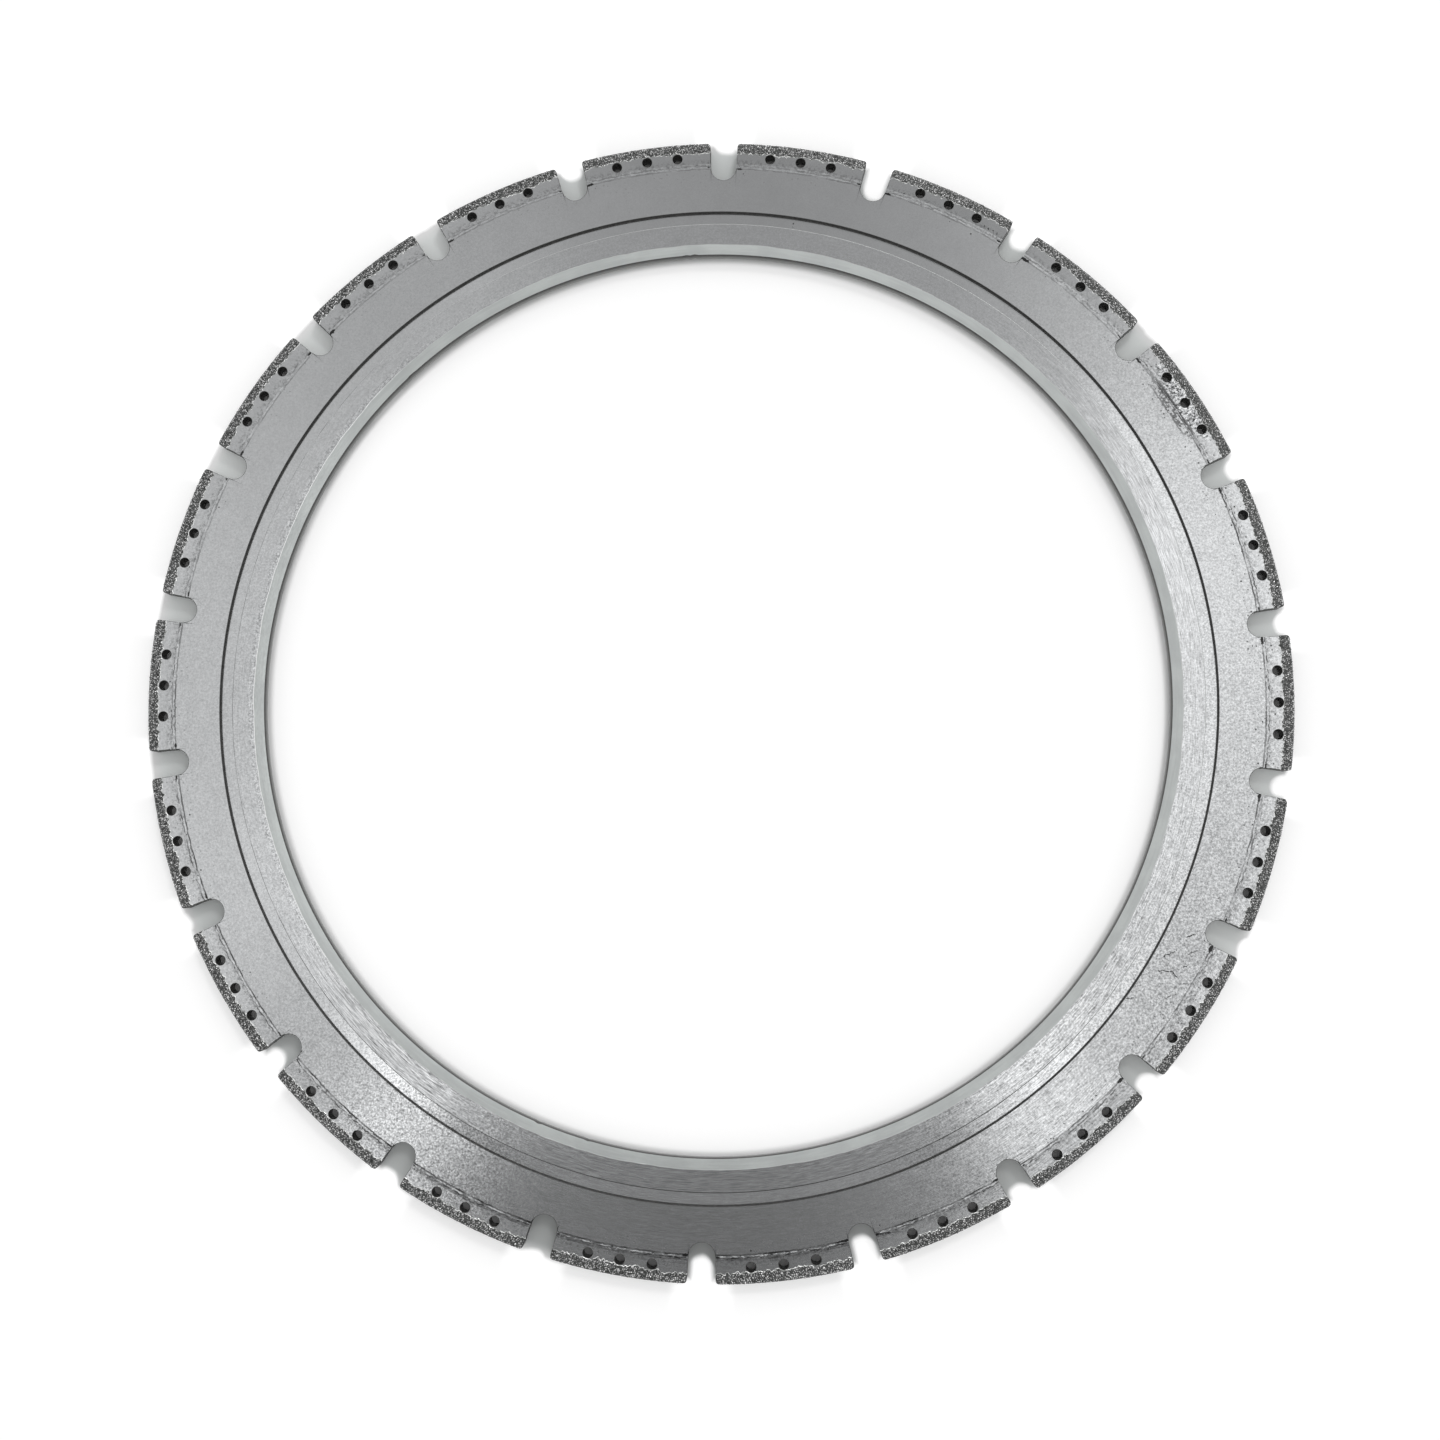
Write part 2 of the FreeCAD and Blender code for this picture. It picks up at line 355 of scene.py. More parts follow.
# Hairline scratches on the lower right of the plate: angle, radius, turn, half length, half width
scratches = [
    (331.2, 156.6, 30, 2.6, 0.13),
    (334.0, 159.7, 22, 2.0, 0.10),
    (332.5, 162.2, 25, 1.8, 0.10),
    (329.3, 157.8, -3, 2.5, 0.15),
    (329.5, 160.8, -55, 1.4, 0.14),
    (330.9, 162.4, 14, 1.0, 0.15),
    (327.4, 163.1, 20, 2.0, 0.11),
    (324.7, 153.6, 2, 1.4, 0.12),
    (81.5, 150.2, 70, 0.9, 0.14),
    (61.0, 168.9, 90, 0.6, 0.12),
    (60.5, 168.9, 95, 0.5, 0.14),
    (60.0, 168.8, 85, 0.6, 0.13),
    (59.5, 168.8, 90, 0.5, 0.10),
]


scratchLook = dict(
    wanderNoise=(1.3, 2.0, 0.6),
    wander=1.6,
    # Where a scratch fades, as shares of its half width and half length
    sideFade=(0.6, 1.7),
    endFade=(0.7, 1.0),
    gapNoise=(0.7, 1.0),
    gapEdge=(0.3, 0.42),
)


def scratchMask(ring):
    look = scratchLook
    wander = (ring.grain(*look["wanderNoise"]) - 0.5) * look["wander"]
    marks = []
    for angle, radius, heading, length, width in scratches:
        along, across = ring.spot(angle, radius, heading, length)
        line = fadeOut(abs(across + wander), *(width * share for share in look["sideFade"]))
        marks.append(line * fadeOut(abs(along), *look["endFade"]))
    # Gaps break the lines up
    return larger(*marks) * fade(ring.grain(*look["gapNoise"]), *look["gapEdge"])


pitLook = dict(
    # Size of a cell, part of its colour that draws the pit, share of cells with none, largest, softness
    coarse=(2.1, 0, 0.45, 0.14, 0.03),
    fine=(1.15, 1, 0.25, 0.25, 0.04),
    fineDepth=0.9,
    # How strong the fine pits are round the ring
    fineAround=[
        (0, 1.0), (35, 1.0), (48, 0.3), (160, 0.2), (190, 0.4), (230, 0.4), (300, 0.6), (345, 0.8),
        (360, 1.0),
    ],
)


def pits(ring, size, draw, empty, largest, soft):
    # Round pits, one to a cell of that size or none, each with its own reach
    cells = addNode(ring.tree, "ShaderNodeTexVoronoi", feature="F1")
    setInputs(cells, {"Vector": ring.place, "Scale": 1 / size})
    drawn = split(Level(ring.tree, cells.outputs["Color"]), "Color")[draw]
    reach = fade(drawn, empty, 1.0, 0.0, largest)
    return fadeOut(Level(ring.tree, cells.outputs["Distance"]) - reach, -soft, soft)


def pitMask(ring):
    # Small dark pits that the welding left near the seam
    coarse = pits(ring, *pitLook["coarse"]) * ring.band("pits")
    fine = pits(ring, *pitLook["fine"]) * ring.band("finePits")
    return larger(coarse, fine * ring.around(pitLook["fineAround"]) * pitLook["fineDepth"])


weldEnd = segmentHalf * blade["weld"]

# Pits where the weld ends beside the gullets, the larger at one end of each segment
endPitLook = dict(
    # Place along the segment, radius, half length and half height
    places=[(weldEnd - 0.9, 166.45, 1.15, 0.36), (-weldEnd + 0.5, 167.0, 0.7, 0.2)],
    roughNoise=(0.7, 2.0, 0.6),
    rough=2.2,
    # A noise as wide as a segment gives each end its own size
    ownNoise=(30.0, 0.0),
    shrink=0.6,
    grow=1.4,
    edge=(0.75, 1.15),
)


def endPitMask(ring):
    look = endPitLook
    segmentAlong = ring.alongSegment()
    rough = (ring.grain(*look["roughNoise"]) - 0.5) * look["rough"]
    less = look["shrink"] - ring.grain(*look["ownNoise"]) * look["grow"]
    marks = []
    for place, radius, length, height in look["places"]:
        along = (segmentAlong - place) / length
        across = (ring.radius - radius) / height
        far = calc("SQRT", along * along + across * across)
        marks.append(fadeOut(far + rough + less, *look["edge"]))
    return larger(*marks)


# Soot of one rewelded joint on the upper right
sootLook = dict(
    # Angle, radius, turn, half length and half width
    spot=(33.0, 166.0, 123.0, 15.0, 3.2),
    mottledSpot=(33.0, 169.8, 123.0, 15.0, 2.6),
    # Radius, shift of the noise, the noise that starts a line, reach of its wander, half width
    lines=[(164.3, 140.0, 0.34, 1.6, 0.3), (167.0, 160.0, 0.3, 1.4, 0.35)],
    nearEdge=(0.1, 1.2),
    speckNoise=(0.9, 3.0, 0.7),
    specks=(0.6, 0.66),
    thickerOnSeam=0.07,
    thickerNear=0.05,
    mottleNoise=(0.75, 3.0, 0.7),
    mottles=(0.51, 0.6),
    mottledEdge=(0.5, 1.1),
    mottle=0.55,
)


def sootMask(ring):
    look = sootLook
    near = fadeOut(ring.fromSpot(look["spot"]), *look["nearEdge"])
    thick = ring.band("sootSeam") * look["thickerOnSeam"] + near * look["thickerNear"]
    specks = fade(ring.grain(*look["speckNoise"]) + thick, *look["specks"])
    soot = near * larger(specks, *(seamLine(ring, line) for line in look["lines"]))
    # The segment itself is mottled
    mottled = fadeOut(ring.fromSpot(look["mottledSpot"]), *look["mottledEdge"])
    mottles = fade(ring.grain(*look["mottleNoise"]), *look["mottles"]) * look["mottle"]
    return larger(soot, mottles * mottled)


def heatTone(ring, look):
    # Dull patches that the heat of welding left on the steel outside the seam
    patches = fade(ring.grain(*look["heatNoise"]), *look["heatPatches"])
    return 1.0 - ring.band("weldHeat") * patches * look["heat"]


def speckleOf(ring, look):
    # Fine speckle of the satin finish, drawn into short lines along the turn in places
    onLand = ring.band("land")
    lined = larger(onLand * ring.around(look["landLined"]), ring.around(look["linesAround"]))
    grain = ring.grain(*look["grainNoise"])
    lines = ring.turned(*look["lineNoise"])
    speckle = (lines - grain) * lined + grain - 0.5
    # The speckle is a painted sparkle, strongest where the highlights fall round the ring
    strength = onLand * look["landSpeckle"] + ring.around(look["speckleAround"])
    # Painted glints along the flank's corner on the left
    strength = strength + ring.band("flankCorner") * ring.around(look["glintsAround"])
    # The rewelded segment on the upper right is blotched
    blotch = fadeOut(ring.fromSpot(look["blotchSpot"]), *look["blotchEdge"]) * look["blotch"]
    strength = strength + blotch
    landLines = (ring.turned(*look["landLineNoise"]) - 0.5) * onLand
    landLines = landLines * ring.around(look["landLines"])
    return speckle * strength + landLines * look["landLineDepth"]


def turnedSteel(look):
    # Satin steel turned on a lathe: the gloss is drawn out across fine circular lines
    material, tree, shader = newMaterial("turned_steel")
    ring = Ring(tree)
    speckle = speckleOf(ring, look)
    cloud = (ring.grain(*look["cloudNoise"]) - 0.5) * look["cloud"]
    tone = speckle * look["speckle"] + (cloud + look["level"])
    onFloor = ring.band("grooveFloor")
    # Painted light and shade: the groove's, the land's and the segments' tones change by angle round the
    # ring
    parts = {
        "grooveLightAround": onFloor,
        "landLightAround": ring.band("land"),
        "segmentLightAround": fade(ring.radius, blade["weld"] - 0.1, blade["weld"] + 0.1),
    }
    for levels, part in parts.items():
        # A level of 0.5 keeps the tone, 1 doubles it and 0 is black
        gain = ring.around(look[levels]) * 2.0 - 1.0
        tone = tone * (part * gain + 1.0)
    colour = blend(1.0, look["colour"], tone * heatTone(ring, look), "MULTIPLY")
    marks = larger(scratchMask(ring), pitMask(ring), endPitMask(ring), sootMask(ring) * look["soot"])
    tangent = addNode(tree, "ShaderNodeTangent", direction_type="RADIAL", axis="Z")
    leaning = bumpOn(ring.radius * onFloor, look["grooveSlope"])
    setInputs(shader, {
        **look["gloss"],
        "Base Color": blend(marks, colour, look["dark"]),
        "Roughness": marks * look["markRoughness"] + look["roughness"],
        "Tangent": Level(tree, tangent.outputs[0]),
        "Normal": bumpOn(speckle, look["reliefHeight"], leaning),
    })
    return material


flankLook = dict(
    colour=(0.66, 0.69, 0.68, 1),
    shade=(0.59, 0.615, 0.61, 1),
    gloss={"Metallic": 1.0, "Roughness": 0.42},
    lineNoise=(14.0, 0.7, 3.0),
    patchNoise=(9.0, 2.0),
    patches=(0.38, 0.62),
    speckleNoise=(1.5, 0.5, 2.5, 0.7, 3.0),
    reliefNoise=(6.0, 0.3),
    reliefHeight=0.004,
    # Painted shade by angle, darkest toward the bottom of the ring
    paintedShadeAround=[
        (0, 0.98), (30, 0.95), (60, 0.97), (75, 1.0), (105, 0.93), (135, 0.88), (150, 1.0),
        (165, 0.97), (210, 0.98), (240, 0.9), (256, 0.83), (270, 0.8), (286, 0.89), (300, 0.93),
        (360, 0.98),
    ],
    speckleAround=[(0, 0.12), (60, 0.06), (140, 0.1), (156, 0.5), (190, 0.4), (210, 0.12), (360, 0.12)],
)


def flankSteel(look):
    # The drive edge's flank: ground to an even grey, with painted shade by angle round the ring
    material, tree, shader = newMaterial("flank_steel")
    ring = Ring(tree)
    tone = (ring.turned(*look["lineNoise"]) + ring.grain(*look["patchNoise"])) * 0.5
    colour = blend(fade(tone, *look["patches"]), look["shade"], look["colour"])
    speckle = ring.turned(*look["speckleNoise"]) - 0.5
    level = ring.around(look["paintedShadeAround"]) + speckle * ring.around(look["speckleAround"])
    setInputs(shader, {
        **look["gloss"],
        "Base Color": blend(1.0, colour, level, "MULTIPLY"),
        "Normal": bumpOn(ring.turned(*look["reliefNoise"]), look["reliefHeight"]),
    })
    return material


cutLook = dict(
    # Painted shade: the walls and eased edges are near black
    colour=(0.085, 0.085, 0.082, 1),
    shade=(0.03, 0.03, 0.03, 1),
    # Painted light from the floor on the lower walls of the bore and the holes
    boreLow=(0.34, 0.345, 0.34, 1),
    holeLow=(0.20, 0.205, 0.2, 1),
    paleTone=(0.52, 0.53, 0.525, 1),
    paleToneAround=[
        (0, 0.7), (33, 0.65), (65, 0.85), (122, 0.75), (140, 0.5), (164, 0.4), (229, 0.3),
        (262, 0.0), (290, 0.1), (315, 0.4), (328, 0.75), (360, 0.7),
    ],
    paleToneNoise=(5.0, 60.0, 3.0),
    paleToneEdge=(0.2, 0.7),
    toneNoise=(0.5, 3.0, 0.6),
    tones=(0.3, 0.7),
    # The radii over which the bore's paler wall ends, and the heights over which it darkens
    boreEnd=(blade["bore"] + 0.6, blade["bore"] + 1.0),
    boreFade=(-1.6, 1.3),
    # The holes reach this far along the segment
    holeEnd=(12.0, 14.0),
    holeFade=(-2.0, 1.4),
    gloss={"Metallic": 0.5, "Roughness": 0.5},
    reliefHeight=0.02,
)


def shadedCutSteel(look):
    # Walls and eased edges painted dark as shade, the bore's and holes' walls painted paler low down as
    # light from the floor
    material, tree, shader = newMaterial("cut_wall_painted_shade")
    ring = Ring(tree)
    tone = ring.grain(*look["toneNoise"])
    colour = blend(fade(tone, *look["tones"]), look["shade"], look["colour"])
    # The bore's and holes' walls are painted paler low down, as light from the floor
    inBore = fadeOut(ring.radius, *look["boreEnd"])
    colour = blend(inBore * fadeOut(ring.z, *look["boreFade"]), colour, look["boreLow"])
    inHole = ring.band("holes") * fadeOut(abs(ring.alongSegment()), *look["holeEnd"])
    colour = blend(inHole * fadeOut(ring.z, *look["holeFade"]), colour, look["holeLow"])
    # The groove's inner edge is paler in places round the ring
    paleShare = ring.around(look["paleToneAround"]) + (ring.turned(*look["paleToneNoise"]) - 0.5)
    paleTone = ring.band("grooveEdge") * fade(paleShare, *look["paleToneEdge"])
    setInputs(shader, {
        **look["gloss"],
        "Base Color": blend(paleTone, colour, look["paleTone"]),
        "Normal": bumpOn(tone, look["reliefHeight"]),
    })
    return material


glintLook = dict(
    # The painted glint's colour, and the duller corner away from it
    colour=(0.95, 0.96, 0.955, 1),
    dull=(0.60, 0.62, 0.61, 1),
    metallic=0.9,
    around=[(0, 0.2), (60, 0.1), (132, 0.2), (146, 0.9), (212, 0.8), (224, 0.4), (300, 0.2), (360, 0.2)],
    noise=(4.0, 60.0, 3.0),
    brightEdge=(0.25, 0.75),
    # From one share to another the roughness goes from its third value to its fourth
    roughness=(0.3, 0.7, 0.35, 0.6),
)


def glintSteel(look):
    # The corner between flank and face, with a painted glint on one side of the ring
    material, tree, shader = newMaterial("edge_painted_glint")
    ring = Ring(tree)
    share = ring.around(look["around"]) + (ring.turned(*look["noise"]) - 0.5)
    setInputs(shader, {
        "Base Color": blend(fade(share, *look["brightEdge"]), look["dull"], look["colour"]),
        "Metallic": look["metallic"],
        "Roughness": fade(share, *look["roughness"]),
    })
    return material


weldLook = dict(
    # Radius, shift of the noise, the noise that starts a line, reach of its wander, half width
    lines=[(166.4, 9.0, 0.22, 1.1, 0.24), (167.3, 71.0, 0.36, 1.5, 0.22)],
    beadLine=(166.85, 53.0, 0.42, 1.1, 0.2),
    # How a line wanders and swells along the seam: size along and across, detail, roughness
    wanderNoise=(1.8, 60.0, 3.0, 0.6),
    swellNoise=(2.5, 60.0, 3.0, 0.6),
    swell=0.25,
    lineEdge=(-0.06, 0.05),
    # Small beads, specks, mottling and smudges, with a shift of the noise at the end
    beadNoise=(1.2, 0.35, 2.0, 0.6, 40.0),
    beads=(0.58, 0.66),
    speckNoise=(1.1, 0.5, 2.0, 0.6, 33.0),
    specks=(0.6, 0.68),
    mottleNoise=(1.5, 0.6, 2.0, 0.6, 17.0),
    mottle=0.7,
    smudgeNoise=(6.0, 1.5, 2.0, 0.6, 90.0),
    smudges=(0.36, 0.6, 0.4, 1.0),
    soot=0.85,
    # The beads' painted highlight
    bead=(0.86, 0.87, 0.88, 1),
    gloss={"Metallic": 1.0, "Roughness": 0.22},
    reliefNoise=(0.9, 0.45, 2.0, 0.5, 5.0),
    reliefHeight=0.012,
    # Painted shade by angle, darkest toward the bottom of the ring
    paintedShadeAround=[
        (0, 0.93), (228, 0.9), (240, 0.68), (256, 0.6), (286, 0.62), (300, 0.75), (312, 0.9),
        (360, 0.93),
    ],
    darkAround=[
        (0, 0.85), (28, 0.9), (48, 0.5), (90, 0.4), (125, 0.35), (155, 0.4), (180, 0.7),
        (200, 0.9), (245, 1.0), (290, 1.0), (308, 0.7), (335, 0.7), (360, 0.85),
    ],
    beadAround=[
        (0, 0.55), (30, 0.4), (60, 0.8), (78, 0.35), (108, 0.3), (130, 0.5), (165, 0.6),
        (235, 0.65), (252, 0.7), (264, 0.95), (290, 0.95), (310, 0.6), (360, 0.55),
    ],
)


def seamLine(ring, line):
    # A line along the seam that wanders, swells and breaks off in places
    look = weldLook
    radius, shift, start, reach, halfWidth = line
    wander = (ring.turned(*look["wanderNoise"], shift) - 0.5) * reach
    # The swelling takes another part of the noise
    swell = ring.turned(*look["swellNoise"], shift + 20.0)
    width = fade(swell, start, start + look["swell"], 0.0, halfWidth)
    return fadeOut(abs(ring.radius - radius - wander) - width, *look["lineEdge"])


def weldSteel(look, steel):
    # The seam: two dark wandering lines with small beads of melted steel between, painted bright as their
    # highlights
    material, tree, shader = newMaterial("weld_steel")
    ring = Ring(tree)
    mottle = (ring.turned(*look["mottleNoise"]) - 0.5) * look["mottle"]
    tone = mottle + ring.around(look["paintedShadeAround"])
    tone = speckleOf(ring, steel) * steel["speckle"] + tone
    colour = blend(1.0, steel["colour"], tone * heatTone(ring, steel), "MULTIPLY")
    beads = fade(ring.turned(*look["beadNoise"]), *look["beads"]) * ring.band("beads")
    beads = larger(beads, seamLine(ring, look["beadLine"]))
    # The beads are painted bright as highlights, more so toward the bottom of the ring
    colour = blend(beads * ring.around(look["beadAround"]), colour, look["bead"])
    smudge = fade(ring.turned(*look["smudgeNoise"]), *look["smudges"])
    dark = larger(*(seamLine(ring, line) for line in look["lines"])) * smudge
    specks = fade(ring.turned(*look["speckNoise"]), *look["specks"])
    dark = larger(dark, specks) * ring.around(look["darkAround"])
    dark = larger(dark, endPitMask(ring), sootMask(ring) * look["soot"])
    setInputs(shader, {
        **look["gloss"],
        "Base Color": blend(dark, colour, steel["dark"]),
        "Normal": bumpOn(ring.turned(*look["reliefNoise"]), look["reliefHeight"]),
    })
    return material


gritLook = dict(
    grains=[(0.0, 0.06), (0.2, 0.16), (0.4, 0.34), (0.7, 0.58), (0.9, 0.82), (1.0, 0.95)],
    # The braze's greys are painted shade between the grains
    braze=[(0.35, (0.03, 0.031, 0.03)), (0.7, (0.12, 0.124, 0.122))],
    # The lip's painted highlight, and its duller patches
    lip=(0.93, 0.94, 0.93, 1),
    dullLip=(0.3, 0.31, 0.3, 1),
    grainGloss={"Metallic": 0.4, "Roughness": 0.32},
    brazeGloss={"Metallic": 0.5, "Roughness": 0.4},
    lipGloss={"Metallic": 0.3, "Roughness": 0.35},
    brazeNoise=(0.6, 3.0, 0.6),
    reliefNoise=(0.35, 2.0),
    reliefHeight=0.05,
    lipNoise=(0.9, 2.0, 0.6),
    lipPatches=(0.44, 0.56),
)


def gritMaterial(look):
    # Diamond grains in braze: each grain has its own grey
    material, tree, shader = newMaterial("diamond_grit")
    grain = Level(tree, addNode(tree, "ShaderNodeNewGeometry").outputs["Random Per Island"])
    setInputs(shader, {**look["grainGloss"], "Base Color": shades(grain, look["grains"])})
    return material


def brazeMaterial(look):
    # Lumpy braze between the grains, painted dark as the shade between them
    material, tree, shader = newMaterial("braze")
    ring = Ring(tree)
    setInputs(shader, {
        **look["brazeGloss"],
        "Base Color": shades(ring.grain(*look["brazeNoise"]), look["braze"]),
        "Normal": bumpOn(ring.grain(*look["reliefNoise"]), look["reliefHeight"]),
    })
    return material


def lipMaterial(look):
    # The lip where the braze thins out on the steel, painted bright as a highlight in patches
    material, tree, shader = newMaterial("braze_lip_painted_highlight")
    patches = fade(Ring(tree).grain(*look["lipNoise"]), *look["lipPatches"])
    colour = blend(patches, look["dullLip"], look["lip"])
    setInputs(shader, {**look["lipGloss"], "Base Color": colour})
    return material


# Mesh helpers

def addPiece(name, points, faces, materials, faceMaterials, sharp, seatedBy="root"):
    mesh = bpy.data.meshes.new(name)
    mesh.from_pydata((points * metre).tolist(), [], faces)
    mesh.update()
    mesh.shade_smooth()
    mesh.set_sharp_from_angle(angle=math.radians(sharp))
    # Level faces are shaded flat
    heights = points[:, 2].tolist()
    faceHeights = ([heights[corner] for corner in face] for face in faces)
    smooth = [max(level) - min(level) > 1e-6 for level in faceHeights]
    mesh.polygons.foreach_set("use_smooth", smooth)
    for material in materials:
        mesh.materials.append(material)
    mesh.polygons.foreach_set("material_index", faceMaterials)
    piece = bpy.data.objects.new(name, mesh)
    bpy.context.scene.collection.objects.link(piece)
    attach(piece, seatedBy)
    return piece


def turn(points, angle):
    # The points turned about the blade's axis
    turned = points.copy()
    turned[..., 0] = points[..., 0] * math.cos(angle) - points[..., 1] * math.sin(angle)
    turned[..., 1] = points[..., 0] * math.sin(angle) + points[..., 1] * math.cos(angle)
    return turned


def flipOver(points):
    # The same points on the lower side
    return points * np.array([1, 1, -1])


def direction(angle):
    return np.array([math.cos(angle), math.sin(angle)])


def atHeight(flat, height):
    return np.column_stack([flat, np.full(len(flat), height)])


def onRing(radius, angles, height):
    radius = np.broadcast_to(radius, np.shape(angles))
    height = np.broadcast_to(height, np.shape(angles))
    return np.column_stack([radius * np.cos(angles), radius * np.sin(angles), height])


def easedEdge(size, steps=4):
    # A rounded edge from above to the side: how far in and how far down each step lies
    sinks = np.linspace(0, math.pi / 2, steps)
    return [(size * (1 - math.sin(sink)), size * (1 - math.cos(sink))) for sink in sinks]


def gridFaces(rows, columns, start=0, closed=False, flip=False):
    # Quads between neighbouring rows of points, which are closed loops or open lines
    faces = []
    for row in range(rows - 1):
        low = start + row * columns
        high = low + columns
        for column in range(columns if closed else columns - 1):
            after = (column + 1) % columns
            quad = (low + column, high + column, high + after, low + after)
            faces.append(quad[:1] + quad[:0:-1] if flip else quad)
    return faces


def roundCorners(corners, radii, steps=3):
    # Gives each corner of a section a small round
    line = []
    corners = np.array(corners, float)
    for index, (corner, radius) in enumerate(zip(corners, radii)):
        if radius == 0:
            line.append(corner)
            continue
        before = corners[index - 1] - corner
        after = corners[index + 1] - corner
        first = corner + before / np.linalg.norm(before) * radius
        last = corner + after / np.linalg.norm(after) * radius
        for t in np.linspace(0, 1, steps + 1):
            line.append(first * (1 - t) ** 2 + corner * 2 * t * (1 - t) + last * t**2)
    return np.array(line)


# The core

coreForm = dict(
    edge=0.15,
    step=0.15,
    floorCorner=0.3,
    flankCorner=0.1,
    flankWander=0.3,
    # How many steps each wave of the flank's edge has round the ring
    wanderSteps=(70, 170, 420),
    # A step of the section counts as cut from the first slope, and beyond the flank from the second
    cutSlopes=(0.3, 0.05),
    # A nick ends at this many half widths from its middle
    nickReach=1.6,
    plainTo=161.0,
    # Rows over the web, as shares of the way to the rim
    webRows=(0.35, 0.7),
    rimSteps=26,
    gulletSteps=26,
    sharp=25.0,
    seed=3,
)

# Nicks in the bore's edge: angle, depth, half width in degrees
boreNicks = [
    (93.6, 0.30, 0.22),
    (94.6, 0.22, 0.2),
    (134.2, 0.38, 0.22),
    (167.5, 0.26, 0.2),
    (249.0, 0.28, 0.22),
    (255.7, 0.26, 0.2),
]


def coreOutline():
    # The core's rim from above, as points with the outward direction at each
    points = []
    outward = []
    # Half the angle that a gullet takes out of the rim
    side = math.asin(blade["gulletRadius"] / blade["weld"])
    for middle in np.arange(blade["segments"]) * pitch:
        start = middle - pitch / 2 + side
        for angle in np.linspace(start, middle + pitch / 2 - side, coreForm["rimSteps"]):
            points.append(blade["weld"] * direction(angle))
            outward.append(direction(angle))
        radial = direction(middle + pitch / 2)
        across = np.array([-radial[1], radial[0]])
        for turnAngle in np.linspace(math.pi, 2 * math.pi, coreForm["gulletSteps"])[1:-1]:
            way = across * math.cos(turnAngle) + radial * math.sin(turnAngle)
            points.append(radial * blade["gulletCentre"] + way * blade["gulletRadius"])
            outward.append(-way)
    return np.array(points), np.array(outward)


def flankWander(angles):
    # A closed uneven line round the ring, made of a few sizes of step
    random = np.random.default_rng(coreForm["seed"])
    total = np.zeros(len(angles))
    for count in coreForm["wanderSteps"]:
        knots = random.uniform(-1, 1, count)
        places = np.linspace(0, 2 * math.pi, count + 1)
        total += np.interp(np.mod(angles, 2 * math.pi), places, np.append(knots, knots[0]))
    return total / len(coreForm["wanderSteps"]) * coreForm["flankWander"]


def nickDepth(angles):
    # How far the nicks cut into the bore's edge, each with a flat middle and sloped sides
    depths = np.zeros(len(angles))
    for angle, depth, width in boreNicks:
        away = np.abs(np.angle(np.exp(1j * (angles - math.radians(angle)))))
        slope = coreForm["nickReach"] - away / math.radians(width)
        depths = np.maximum(depths, depth * np.clip(slope, 0, 1))
    return depths


def coreSection():
    # Half the core's section from the bore's middle over the face, as radius and height
    half = blade["coreHalf"]
    floorZ = half - blade["grooveDepth"]
    edge = coreForm["edge"]
    step = coreForm["step"]
    corner = coreForm["floorCorner"]
    return roundCorners(
        [
            (blade["bore"], 0.0),
            (blade["bore"], half - blade["edgeDrop"]),
            (blade["flank"], half),
            (blade["grooveIn"], half),
            (blade["grooveIn"], floorZ),
            (blade["grooveOut"], floorZ),
            (blade["grooveOut"], half),
            (coreForm["plainTo"], half),
        ],
        [0, edge, coreForm["flankCorner"], step, corner, corner, step, 0],
    )


def finishOf(before, after):
    # The material between two points of the section: 0 turned, 1 flank, 2 cut, 3 glint
    run, rise = np.abs(after - before)
    middle = (before[0] + after[0]) / 2
    if abs(middle - blade["flank"]) < coreForm["flankCorner"]:
        return 3
    steep, slight = coreForm["cutSlopes"]
    if rise > (slight if middle > blade["flank"] + 1 else steep) * run:
        return 2
    return 1 if middle < blade["flank"] else 0


def coreRows():
    # Closed rows of points from the bore's middle up, over the face, down the rim and back,
    # with the finish of the strip that follows each row
    outline, outward = coreOutline()
    angles = np.arctan2(outline[:, 1], outline[:, 0])
    wander = flankWander(angles)
    nicks = nickDepth(angles)
    section = coreSection()
    # The rows of an edge lie this close to it
    near = 0.5
    rows = []
    for radius, height in section:
        radii = np.full(len(angles), radius)
        if abs(radius - blade["flank"]) < near:
            radii += wander
        if radius < blade["bore"] + near and height > blade["coreHalf"] / 2:
            radii += nicks
        rows.append(onRing(radii, angles, height))
    # Over the web to the rim, then the rim's own eased edge and wall
    edge = coreForm["edge"]
    inner = rows[-1][:, :2]
    top = outline - outward * edge
    for share in coreForm["webRows"]:
        rows.append(atHeight(inner * (1 - share) + top * share, blade["coreHalf"]))
    eased = easedEdge(edge)
    for inset, drop in eased:
        rows.append(atHeight(outline - outward * inset, blade["coreHalf"] - drop))
    finishes = [finishOf(*pair) for pair in zip(section[:-1], section[1:])]
    finishes += [0, 0, 0] + [2] * len(eased)
    lower = [flipOver(row) for row in reversed(rows[1:])]
    return rows + lower, finishes + finishes[-2::-1]


def makeCore(plain, flank, cut, glint):
    rows, finishes = coreRows()
    columns = len(rows[0])
    points = np.concatenate(rows)
    # The last row joins the first again
    faces = gridFaces(len(rows) + 1, columns, closed=True, flip=True)
    faces = [tuple(corner % len(points) for corner in face) for face in faces]
    finish = np.repeat(finishes, columns).tolist()
    materials = [plain, flank, cut, glint]
    piece = addPiece("blade_core_turned", points, faces, materials, finish, coreForm["sharp"])
    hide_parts("blade_core")
    print("core made:", len(faces), "faces")


# The segments

segmentForm = dict(edge=0.12, arcSteps=36, holePoints=44, cornerSteps=6, sharp=50.0)
# The CAD's outer corners are chamfered; a round that takes off as much stands for them here
cornerRound = blade["corner"] / (2 - math.sqrt(2))


def cornerTrim(radius, reach):
    # How far the rounded outer corner cuts in from a segment's end at that radius
    over = np.clip(radius - reach + cornerRound, 0, cornerRound)
    return cornerRound - np.sqrt(cornerRound**2 - over**2)


